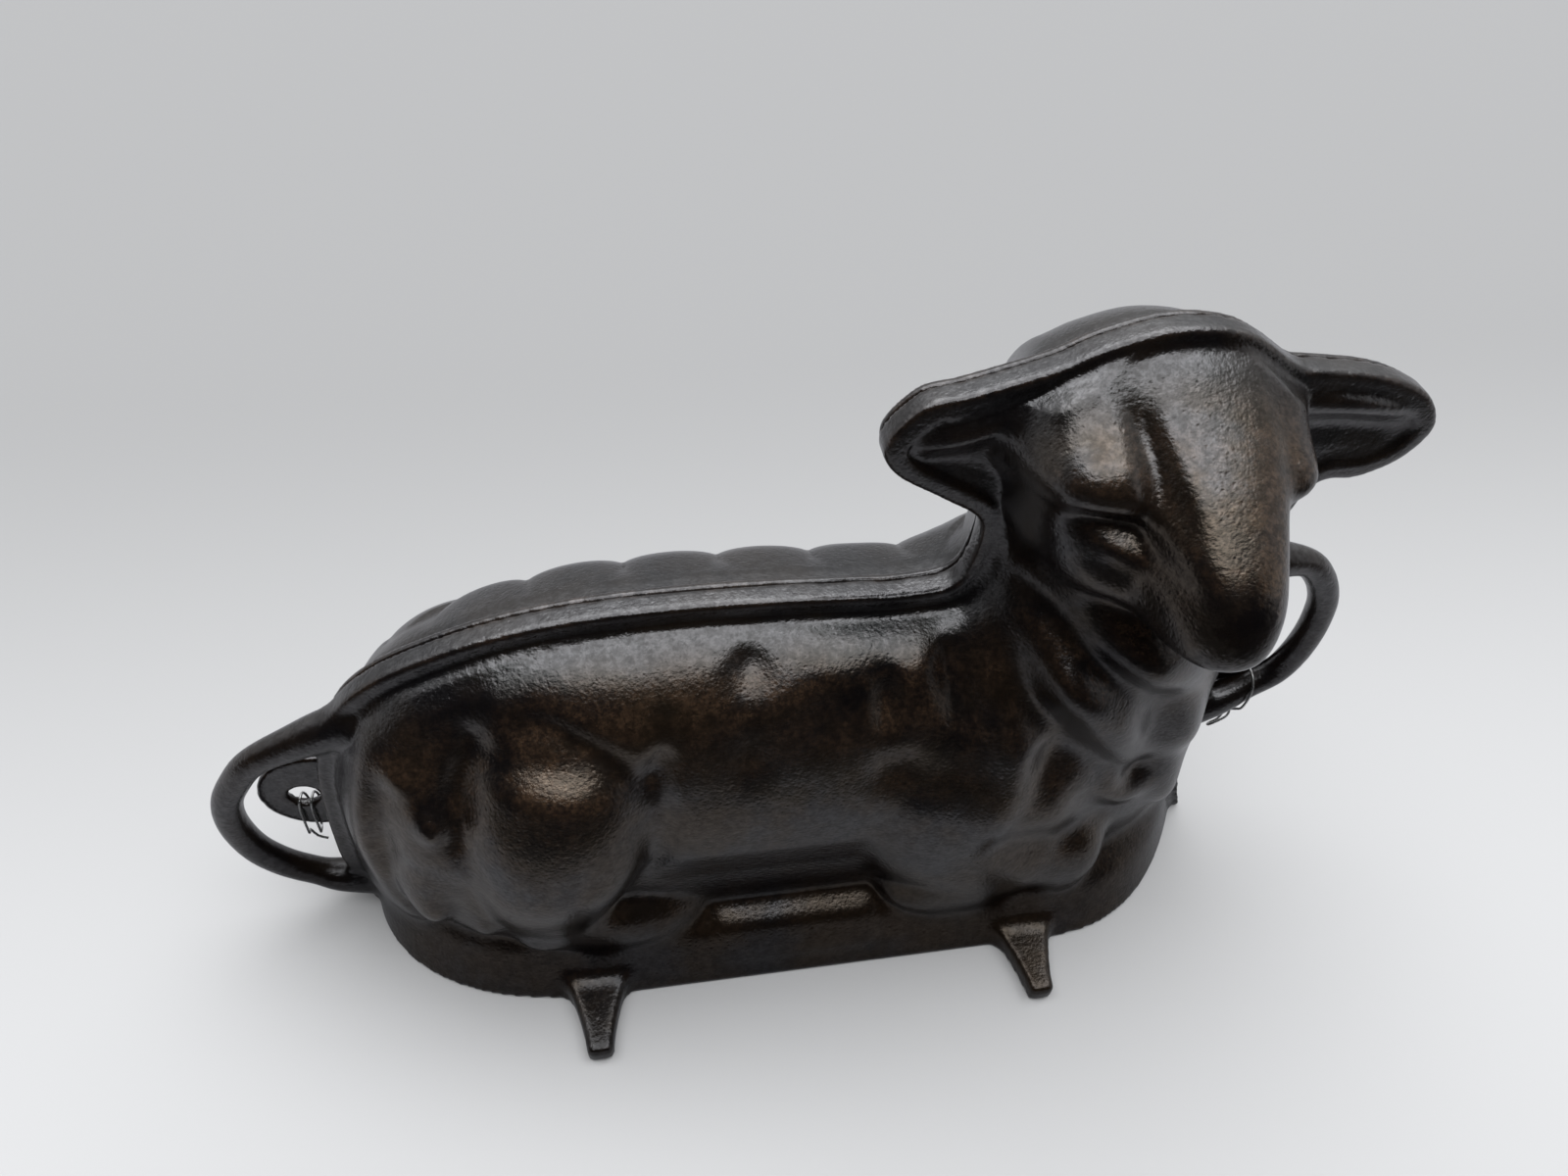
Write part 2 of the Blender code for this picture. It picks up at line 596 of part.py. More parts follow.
def chest_fleece(x, z, depth):
    """Locks of wool that hang down the neck and the chest toward the head end."""
    depth = with_lobes(
        x, z, depth, 0.005,
        (0.270, 0.066, 0.025, 0.060, 0.006, 0.026),
        (0.246, 0.097, 0.012, 0.027, 0.029, 0.013, 34),
        (0.260, 0.066, 0.011, 0.015, 0.028, 0.012, 36),
        (0.273, 0.088, 0.010, 0.020, 0.022, 0.013, 30),
        (0.279, 0.057, 0.009, 0.022, 0.020, 0.013, 20),
    )
    throat = ((0.224, 0.145), (0.232, 0.140), (0.241, 0.131), (0.253, 0.122), (0.268, 0.112), (0.281, 0.101))
    depth = with_strokes(
        x, z, depth,
        (0.0040, 0.0080, *throat),
        (-0.0045, 0.0055, (0.220, 0.140), (0.229, 0.131), (0.241, 0.120), (0.252, 0.111), (0.263, 0.102)),
        (0.0040, 0.0060, (0.217, 0.129), (0.226, 0.120), (0.236, 0.115), (0.247, 0.110)),
        (-0.0050, 0.0050, (0.228, 0.108), (0.235, 0.098), (0.244, 0.087), (0.255, 0.074), (0.265, 0.067)),
        (-0.0040, 0.0050, (0.263, 0.103), (0.265, 0.093), (0.266, 0.084)),
    )
    return with_swells(x, z, depth, (0.268, 0.066, 0.005, 0.005, -0.005))


def front_relief(x, z, line):
    """Depth of the face half's outer surface in front of the seam."""
    inset = distance_inside(x, z, line) - rim_margin(x, z)
    full = np.interp(z, BARREL_LEVELS, BARREL_DEPTHS)
    full = full * np.interp(x, (CHEST_START, CHEST_X), (1, CHEST_SLIM))
    depth = barrel(inset, BARREL_ROUND, full)
    share = ear_share(x, z)
    depth = depth * (1 - share) + ears(x, z, inset) * share
    depth = depth + rump_fleece(x, z) * ramp(inset, 0, 0.006)
    depth = haunch(x, z, depth)
    depth = chest_fleece(x, z, depth)
    depth = front_leg(x, z, depth)
    depth = head(x, z, depth)
    depth = depth + flank_marks(x, z) * ramp(inset, 0, 0.004)
    strip = plinth(x, z, BASE_FRONT)
    panel = ramp(x, PANEL_LEFT - 0.002, PANEL_LEFT + 0.002) * ramp(z, PANEL_TOP + 0.002, PANEL_TOP - 0.001)
    panel = panel * ramp(x, PANEL_RIGHT + 0.002, PANEL_RIGHT - 0.002)
    strip = strip + panel * np.maximum(z - PLINTH_HEIGHT, 0)
    depth = soften(blend(depth, strip, 0.003), CAST_SOFTNESS)
    woolly = ramp(x, 0.204, 0.214) * ramp(z, 0.152, 0.142)
    depth = depth + (soften(depth, WOOL_SOFTNESS) - depth) * woolly
    depth = np.where(z < PLINTH_HEIGHT, depth, np.minimum(depth, np.maximum(8 * inset, 0)))
    return np.maximum(depth, FRONT_RIM / 2)


def back_relief(x, z, line):
    """Depth of the tail half's outer surface behind the seam."""
    inset = distance_inside(x, z, line) - RIM_MARGIN
    depth = barrel(inset, BACK_ROUND, BACK_BARREL * np.interp(z, (0.02, 0.06), (0.78, 0.95)))
    depth = blend(depth, lobe_depth(x, z, SKULL_BACK), 0.008)
    row = np.floor(z / LOCK_PITCH_Z)
    across = (x / LOCK_PITCH_X + row / 2) % 1 - 0.5
    along = z / LOCK_PITCH_Z - row - 0.5
    lock = np.sqrt(np.maximum(1 - (across / 0.52) ** 2 - (along / 0.56) ** 2, 0))
    share = ear_share(x, z)
    fleece = ramp(inset, 0.001, 0.008) * (1 - share) * ramp(z, 0.165, 0.145)
    depth = depth + LOCK_RISE * lock * fleece
    round_ear = BACK_RIM + 0.009 * np.sqrt(np.clip(inset / 0.009, 0, 1))
    depth = depth * (1 - share) + np.minimum(depth, round_ear) * share
    depth = np.minimum(depth, BASE_BACK - 0.001)
    depth = np.maximum(depth, plinth(x, z, BASE_BACK))
    return np.maximum(depth, BACK_RIM / 2)


def grid_axes():
    x = np.arange(RUMP_X - 3 * GRID, EAR_RIGHT_X + 3 * GRID, GRID)
    z = np.arange(-3 * GRID, CROWN_Z + 3 * GRID, GRID)
    return x, z


def hollow_of(depth, wall):
    """The depth of a hollow that stays one wall inside the relief, measured at any slope."""
    reach = int(wall / GRID)
    hollow = depth - wall
    for i in range(-reach, reach + 1):
        for j in range(-reach, reach + 1):
            aside = (i * i + j * j) * GRID * GRID
            if aside > wall * wall:
                continue
            moved = np.roll(depth, (i, j), (0, 1)) - math.sqrt(wall * wall - aside)
            hollow = np.minimum(hollow, moved)
    return hollow


def relief_block(name, x, z, depth, side, share, collection, frame):
    """A closed block: the relief on one face, flat on the far side of the seam."""
    body = bmesh.new()
    bmesh.ops.create_grid(body, x_segments=len(x) - 1, y_segments=len(z) - 1, size=0.5)
    for vert in body.verts:
        i = round((vert.co.x + 0.5) * (len(x) - 1))
        j = round((vert.co.y + 0.5) * (len(z) - 1))
        vert.co = (x[i], side * depth[i, j], z[j])
    border = [edge for edge in body.edges if edge.is_boundary]
    grown = bmesh.ops.extrude_edge_only(body, edges=border)["geom"]
    for vert in grown:
        if isinstance(vert, bmesh.types.BMVert):
            vert.co.y = -side * 2 * OVERSHOOT
    border = [edge for edge in body.edges if edge.is_boundary]
    bmesh.ops.contextual_create(body, geom=border)
    bmesh.ops.recalc_face_normals(body, faces=body.faces)
    mesh = bpy.data.meshes.new(name)
    body.to_mesh(mesh)
    body.free()
    mesh.shade_smooth()
    thing = put(name, mesh, collection, frame)
    thinned = thing.modifiers.new("thinned", "DECIMATE")
    thinned.ratio = share
    return thing


def casting(name, side, relief, rim_line, rim, collection, cutters, frame):
    """One half: its relief, cut to the outline, with the rim joined on."""
    x, z = grid_axes()
    depth = relief(*np.meshgrid(x, z, indexing="ij"))
    body = relief_block(name, x, z, depth, side, OUTER_SHARE, collection, frame)
    outline = closed_at(inset_line(rim_line, RIM_MARGIN / 2), -1.5 * OVERSHOOT)
    deep = side * (FOOT_REACH + 2 * OVERSHOOT)
    trim = plate(name + " outline", outline, -side * 1.5 * OVERSHOOT, deep, cutters, frame)
    boolean(body, trim, "INTERSECT")
    band = closed_at(rim_line, -OVERSHOOT) + closed_at(inset_line(rim_line, RIM_MARGIN), -OVERSHOOT)[::-1]
    boolean(body, plate(name + " rim", band, -side * OVERSHOOT, side * rim, cutters, frame), "UNION")
    return body, x, z, depth


def cut_hollow(name, body, side, x, z, depth, rim_line, cutters, frame):
    """Cuts the cake's space out of a half, one wall inside it on every side."""
    inner = np.maximum(hollow_of(depth, WALL), SEAM_GAP * 2)
    hollow = relief_block(name + " hollow", x, z, inner, side, HOLLOW_SHARE, cutters, frame)
    edge = closed_at(inset_line(rim_line, RIM_MARGIN + WALL), WALL)
    deep = side * FOOT_REACH
    boolean(hollow, plate(name + " hollow edge", edge, -side * OVERSHOOT, deep, cutters, frame), "INTERSECT")
    boolean(body, hollow, "DIFFERENCE")


def trim_planes(name, body, side, seam, cutters, frame):
    """Cuts a half flat along the seam and under its base."""
    near, far = sorted((side * seam, side * (FOOT_REACH + 4 * OVERSHOOT)))
    low = (LEFT_LOOP_X - 0.05, near, 0.0)
    high = (RIGHT_LOOP_X + 0.05, far, CROWN_Z + 0.05)
    boolean(body, block(name + " stock", low, high, cutters, frame), "INTERSECT")


def loop_handle(name, route, cutters, frame):
    """A bar along the route (x, z), thicker at both roots."""
    radii = [1.0] * len(route)
    radii[0] = radii[-1] = ROOT_THICKENING
    radii[1] = radii[-2] = (1 + ROOT_THICKENING) / 2
    points = [(x, -BAR_DEPTH, z) for x, z in route]
    return tube(name, points, BAR_RADIUS, cutters, frame, radii=radii, smooth=True)


def left_handle_route():
    left = LEFT_LOOP_X + BAR_RADIUS
    return [
        (RUMP_X + 0.0165, 0.0890),
        (RUMP_X + 0.0035, 0.0835),
        (left + 0.0095, 0.0755),
        (left + 0.0010, 0.0650),
        (left - 0.0032, 0.0560),
        (left - BAR_RADIUS, 0.0450),
        (left - 0.0020, 0.0325),
        (left + 0.0035, 0.0230),
        (left + 0.0110, 0.0162),
        (RUMP_X - 0.0030, 0.0120),
        (RUMP_X + 0.0100, 0.0095),
    ]


def right_handle_route():
    right = RIGHT_LOOP_X - BAR_RADIUS
    return [
        (CHEST_X - 0.0110, 0.1250),
        (CHEST_X + 0.0020, 0.1235),
        (right - 0.0098, 0.1210),
        (right - 0.0030, 0.1145),
        (right + 0.0018, 0.1060),
        (right + 0.0037, 0.0980),
        (right + BAR_RADIUS, 0.0890),
        (right + 0.0032, 0.0795),
        (right, 0.0715),
        (RIGHT_HOLE_X + 0.0017, RIGHT_HOLE_Z - 0.0095),
        (RIGHT_HOLE_X - 0.0070, RIGHT_HOLE_Z - 0.0155),
        (CHEST_X - 0.0080, RIGHT_HOLE_Z - 0.0215),
    ]


def foot(name, centre, cutters, frame):
    """A tongue at the base, flared at its root and tapered to its tip."""
    root = BASE_FRONT - 2 * WALL
    body = bmesh.new()
    bmesh.ops.create_grid(body, x_segments=1, y_segments=FOOT_STEPS, size=0.5)
    for vert in body.verts:
        share = 0.5 - vert.co.y
        half = (FOOT_TIP_WIDTH + (FOOT_ROOT_WIDTH - FOOT_TIP_WIDTH) * (1 - share) ** FOOT_FLARE) / 2
        vert.co.x = centre + math.copysign(half, vert.co.x)
        vert.co.y = -root - share * (FOOT_REACH - root)
        vert.co.z = FOOT_ROOT_HEIGHT + share * (FOOT_TIP_HEIGHT - FOOT_ROOT_HEIGHT)
    grown = bmesh.ops.extrude_face_region(body, geom=body.faces[:])["geom"]
    for vert in grown:
        if isinstance(vert, bmesh.types.BMVert):
            vert.co.z = -OVERSHOOT
    bmesh.ops.recalc_face_normals(body, faces=body.faces)
    mesh = bpy.data.meshes.new(name)
    body.to_mesh(mesh)
    body.free()
    thing = put(name, mesh, cutters, frame)
    rounded = thing.modifiers.new("rounded", "BEVEL")
    rounded.width = FOOT_EDGE
    rounded.segments = 2
    rounded.limit_method = "ANGLE"
    return thing


def front_half(line, material, parts, cutters, frame):
    def relief(x, z):
        return front_relief(x, z, line)

    body, x, z, depth = casting("front_half", -1, relief, line, FRONT_RIM, parts, cutters, frame)
    boolean(body, loop_handle("left handle", left_handle_route(), cutters, frame), "UNION")
    boolean(body, loop_handle("right handle", right_handle_route(), cutters, frame), "UNION")
    for name, centre in zip(("left foot", "right foot"), FOOT_CENTRES):
        boolean(body, foot(name, centre, cutters, frame), "UNION")
    cut_hollow("front_half", body, -1, x, z, depth, line, cutters, frame)
    trim_planes("front_half", body, -1, 0.0, cutters, frame)
    body.data.materials.append(material)
    return body


def back_half(line, material, parts, cutters, frame):
    def relief(x, z):
        return back_relief(x, z, line)

    rim_line = inset_line(line, BACK_RIM_INSET)
    far = SEAM_GAP + BACK_RIM
    body, x, z, depth = casting("back_half", 1, relief, rim_line, far, parts, cutters, frame)
    lugs = (
        ("left lug", LEFT_LUG_X, LEFT_LUG_Z, LEFT_LUG_RADIUS),
        ("right lug", RIGHT_LUG_X, RIGHT_LUG_Z, RIGHT_LUG_RADIUS),
    )
    for name, lug_x, lug_z, radius in lugs:
        boolean(body, disc(name, lug_x, lug_z, radius, -OVERSHOOT, far, cutters, frame), "UNION")
    cut_hollow("back_half", body, 1, x, z, depth, line, cutters, frame)
    holes = (
        ("left lug hole", LEFT_HOLE_X, LEFT_HOLE_Z, LEFT_HOLE_RADIUS),
        ("right lug hole", RIGHT_HOLE_X, RIGHT_HOLE_Z, RIGHT_HOLE_RADIUS),
    )
    for name, hole_x, hole_z, radius in holes:
        boolean(body, disc(name, hole_x, hole_z, radius, -OVERSHOOT, 2 * far, cutters, frame), "DIFFERENCE")
    trim_planes("back_half", body, 1, SEAM_GAP, cutters, frame)
    body.data.materials.append(material)
    return body


def least_gap(points, radius):
    """The least clear space between stretches of one tube that aren't neighbours."""
    points = np.array(points)
    steps = np.linalg.norm(np.diff(points, axis=0), axis=1)
    along = np.concatenate([[0], np.cumsum(steps)])
    apart = np.linalg.norm(points[:, None] - points[None], axis=2)
    far = np.abs(along[:, None] - along[None]) > 6 * radius
    return apart[far].min() - 2 * radius


def left_tie_route():
    """Turns through the left lug's hole and round its lower edge, then the two tails."""
    low = LEFT_LUG_Z - LEFT_LUG_RADIUS - LEFT_TURN_DROP
    high = LEFT_HOLE_Z - LEFT_HOLE_RADIUS * 0.4
    middle_y = SEAM_GAP + BACK_RIM / 2
    half_y = BACK_RIM / 2 + 2 * WIRE_RADIUS + WIRE_CLEARANCE
    start = LEFT_HOLE_X - LEFT_TURNS * LEFT_TURN_PITCH / 2
    route = [
        (start + 0.0045, middle_y - 0.0012, low - 0.0042),
        (start + 0.0020, middle_y - 0.0012, low - 0.0022),
    ]
    for number in range(LEFT_TURNS * TURN_POINTS + 1):
        turn = number / TURN_POINTS
        angle = 2 * math.pi * turn
        sweep_y = -math.copysign(abs(math.sin(angle)) ** 0.5, math.sin(angle))
        sweep_z = -math.copysign(abs(math.cos(angle)) ** 0.6, math.cos(angle))
        y = middle_y + half_y * sweep_y
        z = (high + low) / 2 + (high - low) / 2 * sweep_z
        route.append((start + turn * LEFT_TURN_PITCH, y, z))
    end = start + LEFT_TURNS * LEFT_TURN_PITCH
    route += [
        (end + 0.0002, middle_y + 0.0008, low - 0.0016),
        (end - 0.0012, middle_y + 0.0012, low - 0.0040),
    ]
    return route


def right_tie_route():
    """Round the right handle's lower bar and through the right lug's hole, with a looped tail."""
    x = RIGHT_HOLE_X - 0.0010
    front = -BAR_DEPTH - BAR_RADIUS - WIRE_RADIUS - WIRE_CLEARANCE
    behind = SEAM_GAP + BACK_RIM + WIRE_RADIUS + WIRE_CLEARANCE
    through = RIGHT_HOLE_Z - RIGHT_HOLE_RADIUS * 0.6
    under = RIGHT_LUG_Z - RIGHT_LUG_RADIUS - 0.0050
    knot = under - 0.0028
    ring = [
        (x - 0.0006, -0.0052, knot + 0.0004),
        (x - 0.0004, front + 0.0016, under + 0.0006),
        (x, front, under + 0.0034),
        (x + 0.0004, front, through - 0.0055),
        (x + 0.0006, front + 0.0030, through - 0.0010),
        (x + 0.0008, 0.0, through),
        (x + 0.0008, behind - 0.0008, through - 0.0006),
        (x + 0.0006, behind, through - 0.0030),
        (x + 0.0004, behind, under + 0.0030),
        (x, behind - 0.0024, under - 0.0002),
        (x + 0.0002, -0.0020, knot + 0.0006),
    ]
    tail = [
        (x + 0.0004, -0.0044, knot - 0.0008),
        (x - 0.0010, -0.0060, knot - 0.0024),
        (x - 0.0044, -0.0064, knot - 0.0046),
        (x - 0.0060, -0.0060, knot - 0.0062),
        (x - 0.0050, -0.0048, knot - 0.0070),
        (x - 0.0022, -0.0044, knot - 0.0056),
        (x - 0.0004, -0.0034, knot - 0.0038),
    ]
    return [tuple(point) for point in smooth_line(ring + tail, parts=3)]


def tie(name, route, material, parts, frame):
    thing = tube(name, route, WIRE_RADIUS, parts, frame, sides=1)
    thing.data.materials.append(material)
    print(f"{name}: least gap to itself {least_gap(route, WIRE_RADIUS) * 1000:.2f} mm")
    return thing


def main():
    clear_scene()
    parts = new_collection("lamb_cake_mould")
    cutters = new_collection("cutters")
    frame = bpy.data.objects.new("mould", None)
    parts.objects.link(frame)
    frame.location = (-MIDDLE_X, SEAM_Y, 0)
    line = smooth_line(rim_anchors())
    front_iron = iron("seasoned_iron_front", (0.045, 0.038, 0.033), 0.42, 0.8)
    back_iron = iron("seasoned_iron_back", (0.040, 0.036, 0.033), 0.48, 0.8)
    wire = iron("tie_wire", (0.30, 0.31, 0.31), 0.38, 1.0)
    front_half(line, front_iron, parts, cutters, frame)
    back_half(line, back_iron, parts, cutters, frame)
    tie("wire_tie_left", left_tie_route(), wire, parts, frame)
    tie("wire_tie_right", right_tie_route(), wire, parts, frame)


main()
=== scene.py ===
"""Looks of the lamb cake mould: two castings carved as fine surfaces, wire ties, floor and light.

Lengths are millimetres in the mould's own frame until to_world() turns them
into metres: X to the head end, Y away from the viewer with the seam at 0, and
Z up from the base.
"""

import collections
import math

import bpy
import numpy as np
from mathutils import Matrix, Vector

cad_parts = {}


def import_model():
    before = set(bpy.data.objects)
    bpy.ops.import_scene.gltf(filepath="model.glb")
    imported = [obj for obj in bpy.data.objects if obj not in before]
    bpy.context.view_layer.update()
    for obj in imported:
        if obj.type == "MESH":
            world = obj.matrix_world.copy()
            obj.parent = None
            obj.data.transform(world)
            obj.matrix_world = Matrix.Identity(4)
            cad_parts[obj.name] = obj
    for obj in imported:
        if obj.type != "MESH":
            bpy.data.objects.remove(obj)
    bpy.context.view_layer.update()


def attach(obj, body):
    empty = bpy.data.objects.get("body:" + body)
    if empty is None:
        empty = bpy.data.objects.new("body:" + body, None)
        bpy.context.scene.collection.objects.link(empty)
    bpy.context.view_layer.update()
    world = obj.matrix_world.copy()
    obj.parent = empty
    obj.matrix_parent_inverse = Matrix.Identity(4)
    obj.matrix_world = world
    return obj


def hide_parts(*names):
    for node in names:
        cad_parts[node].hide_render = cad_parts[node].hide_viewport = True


# Castings: their wall, the gap at the seam, and the rims' bare edge, thickness and rounding
WALL = 4.0
SEAM_GAP = 0.3
RIM_MARGIN = 4.5
FRONT_RIM = 7.0
BACK_RIM = 3.0
BACK_RIM_INSET = 0.6
RIM_EDGE = 1.4
EAR_FLOOR = 4.6

# Rim outline landmarks
RUMP_X = 28.5
CHEST_X = 302.5
BASE_FLARE = 11.0
BACK_TOP = 126.0
NAPE_X = 212.0
EAR_LEFT_X, EAR_LEFT_Z = 183.5, 174.5
EAR_RIGHT_X, EAR_RIGHT_Z = 326.5, 171.0
CROWN_X, CROWN_Z = 250.0, 203.0

# Base plan
BASE_FRONT = 50.5
BASE_BACK = 48.0
BASE_LEFT_ROUND = 84.0
BASE_RIGHT_ROUND = 69.0
BASE_LEFT_POWER, BASE_RIGHT_POWER = 2.7, 2.6
PLINTH_HEIGHT = 17.0
PLINTH_DRAFT = 0.50
PANEL_LEFT, PANEL_RIGHT, PANEL_TOP = 141.0, 191.0, 20.5
PANEL_RELIEF = 1.4

# Bodies: their depth away from the seam, how far in from the rim it is reached, and their locks
FLANK_HEIGHTS = (0, 24, 44, 60, 72, 85, 126, 136, 160)
FLANK_DEPTHS = (33, 34.5, 37, 40.5, 40.5, 39.5, 39.5, 31, 28)
FLANK_ROUND = 55
BACK_DEPTH, BACK_ROUND = 45, 56
BODY_POWER = 2.2
BACK_EAR_DEPTH, BACK_EAR_ROUND = 9.2, 9
LOCK_WIDTH, LOCK_HEIGHT, LOCK_DEPTH = 27, 20, 4.2

# How fast forms fall away past their outlines, and the depth that stands for nothing there
RIM_SLOPE = 8
OUTER_SLOPE = 6
LOBE_FALL = 40
STEEPEST = 6
OFF_LOFT = -60
OFF_CASTING = -20

# Softness of the sand-cast iron, and of the wool on the chest
IRON_SOFTNESS = 1.5
WOOL_SOFTNESS = 2.1
STROKE_FADE = 0.12

# Loop handles
BAR_RADIUS = 4.3
BAR_DEPTH = 4.0
LEFT_LOOP_REACH = 25.5
RIGHT_LOOP_REACH = 25.5
LEFT_LOOP_X = RUMP_X - LEFT_LOOP_REACH
RIGHT_LOOP_X = CHEST_X + RIGHT_LOOP_REACH
ROOT_THICKENING = 1.45
ROOT_SPANS = (0.2, 2.2)

# Feet
FOOT_CENTRES = (103.8, 240.0)
FOOT_REACH = 69.5
FOOT_ROOT_WIDTH, FOOT_TIP_WIDTH = 21.0, 7.6
FOOT_ROOT_HEIGHT, FOOT_TIP_HEIGHT = 7.2, 6.4
FOOT_OVERLAP = 6
FOOT_EDGE = 2.0

# Lugs and their holes
LEFT_LUG = (27.0, 51.0, 16.5)
LEFT_HOLE = (23.0, 50.0, 4.5)
RIGHT_LUG = (312.0, 73.5, 11.5)
RIGHT_HOLE = (315.5, 75.5, 4.0)
LUG_EDGE = 0.8

# Fillets where a form meets the casting that it grows from
RIM_FILLET, BACK_RIM_FILLET = 3.0, 2.0
PLINTH_FILLET, BACK_PLINTH_FILLET = 3.0, 1.0
BAR_FILLET = 2.5
FOOT_FILLET = 4.0
LUG_FILLET = 1.5
HOLLOW_SIDE_FILLET, HOLLOW_FLOOR_FILLET = 2.0, 3.0

# Wire ties
WIRE_RADIUS = 0.38
WIRE_CLEARANCE = 0.4
LEFT_TURNS = 2
LEFT_TURN_PITCH = 3.4
LEFT_TURN_DROP = 4.0
TURN_POINTS = 24
WIRE_SIDES = 10

# The CAD's origin is the middle of the footprint
MIDDLE_X = (LEFT_LOOP_X + RIGHT_LOOP_X) / 2
SEAM_Y = (FOOT_REACH - BASE_BACK) / 2

# Black stain at the tip of the nose: its middle and how far it reaches
NOSE_STAIN = (256.0, -61.0, 161.0)
STAIN_SIZE = 10.0

# Grid that the castings are carved on: its spacing, its margin, and how far forms pass the seam
STEP = 1.0
GRID_MARGIN = 3
PAST_SEAM = 2

# Photograph's camera, solved from the base, rim, handles and feet
CAMERA_PLACE = (121.94, -196.19, 331.46)
CAMERA_YAW, CAMERA_TILT, CAMERA_ROLL = -11.92, 43.97, 4.06
CAMERA_FOCAL_PIXELS, PHOTO_WIDTH = 1109.0, 1600.0
SENSOR_WIDTH = 36.0
CLIP_START = 0.01

# Iron: the scales of its noises, and in metres from the CAD's origin where it is fully brown,
# between which heights the painted shade near its base fades out, and where the upper flank's duller band
# starts and ends
PATINA_SCALE, CLOUD_SCALE, MOTTLE_SCALE, SPECKLE_SCALE = 26, 38, 340, 760
PATCH_SCALE, RAGGED_SCALE, PIT_SCALE, SAND_SCALE = 60, 160, 520, 900
BROWN_BY = 0.016
BASE_SHADE_FULL_TO, BASE_SHADE_GONE_BY = 0.015, 0.048
BAND_FROM, BAND_TO = (0.098, 0.110), (0.132, 0.150)
IRON_IOR = 1.62

# Wire: the scales of its dull patches and of its drawing lines
DULL_SCALE, DRAWN_SCALE = 420, 3800

# Colours of the iron, the wire, the sheet near, far and in reflections, and the light, in linear light
IRON_BLACK, IRON_BROWN = (0.0030, 0.0026, 0.0030, 1), (0.0075, 0.0050, 0.0032, 1)
# Brown of thin seasoning, put where the iron is worn and, as painted top light, on its upward faces
IRON_WORN_AND_LIT = (0.037, 0.0215, 0.0125, 1)
BLACK_SHEEN, BROWN_SHEEN = (0.98, 0.98, 1, 1), (1.0, 0.84, 0.68, 1)
ZINC, ZINC_DULL, ZINC_BRIGHT = (0.22, 0.225, 0.23, 1), (0.075, 0.07, 0.065, 1), (0.42, 0.42, 0.41, 1)
# Painted shade: the sheet darkens from near to far
SHEET_NEAR, SHEET_FAR = (0.47, 0.47, 0.47, 1), (0.29, 0.29, 0.29, 1)
# Painted reflection: the sheet shows dimmer in the iron than to the camera
SHEET_MIRRORED, BEYOND_SHEET = (0.29, 0.29, 0.30, 1), (0.02, 0.02, 0.02, 1)
SHEET_SIZE, SHEET_DROP = 6, 0.0001
TENT_COLOUR, BACKDROP = (0.97, 0.98, 1, 1), (0.48, 0.48, 0.475, 1)

# Light tent: the way to its open side, how dark that is, its lamp, and its walls in front and behind
OPEN_X, OPEN_Y = -0.259, -0.966
OPEN_DARKNESS = 0.97
LAMP = 3.7
WALL_FRONT, WALL_BEHIND = 0.50, 1.75

# A dome on an ellipse: its middle and half sizes, its foot's depth, its rise, turn and roundness
Lobe = collections.namedtuple("Lobe", "x z half_x half_z foot rise turn power", defaults=(0.0, 2.0))


def to_world(x, y, z):
    return Vector(((x - MIDDLE_X) / 1000, (y + SEAM_Y) / 1000, z / 1000))


def rim_anchors():
    """The rim's outer edge, from the rump's foot over the back and head to the chest's foot."""
    left, right = EAR_LEFT_X, EAR_RIGHT_X
    return [
        (RUMP_X + 5.5, 0.0),
        (RUMP_X + 1.5, 14.0),
        (RUMP_X, 29.0),
        (RUMP_X + 2.5, 62.0),
        (RUMP_X + 6.5, BACK_TOP - 46.0),
        (RUMP_X + 13.5, BACK_TOP - 31.0),
        (RUMP_X + 23.5, BACK_TOP - 21.0),
        (RUMP_X + 37.0, BACK_TOP - 13.5),
        (RUMP_X + 58.5, BACK_TOP - 5.7),
        (RUMP_X + 85.0, BACK_TOP - 1.1),
        (RUMP_X + 119.0, BACK_TOP),
        (NAPE_X - 32.0, BACK_TOP - 1.4),
        (NAPE_X - 18.0, BACK_TOP - 2.1),
        (NAPE_X - 4.0, BACK_TOP + 0.3),
        (NAPE_X, BACK_TOP + 11.0),
        (NAPE_X - 1.0, EAR_LEFT_Z - 25.5),
        (left + 16.5, EAR_LEFT_Z - 17.3),
        (left + 3.5, EAR_LEFT_Z - 8.5),
        (left, EAR_LEFT_Z + 0.5),
        (left + 8.0, EAR_LEFT_Z + 10.8),
        (left + 18.5, EAR_LEFT_Z + 13.5),
        (CROWN_X - 29.0, CROWN_Z - 9.2),
        (CROWN_X - 18.0, CROWN_Z - 4.0),
        (CROWN_X - 2.0, CROWN_Z),
        (CROWN_X + 15.0, CROWN_Z - 2.4),
        (CROWN_X + 31.0, CROWN_Z - 12.0),
        (CROWN_X + 38.0, CROWN_Z - 13.5),
        (right - 24.5, EAR_RIGHT_Z + 16.5),
        (right - 14.0, EAR_RIGHT_Z + 13.3),
        (right - 5.0, EAR_RIGHT_Z + 8.0),
        (right, EAR_RIGHT_Z - 1.0),
        (right - 4.5, EAR_RIGHT_Z - 10.5),
        (right - 14.5, EAR_RIGHT_Z - 16.0),
        (CHEST_X - 1.5, EAR_RIGHT_Z - 17.5),
        (CHEST_X - 5.5, EAR_RIGHT_Z - 33.0),
        (CHEST_X - 4.5, 125.0),
        (CHEST_X, 75.0),
        (CHEST_X + 2.0, 40.0),
        (CHEST_X + BASE_FLARE / 2, 17.0),
        (CHEST_X + BASE_FLARE, 0.0),
    ]


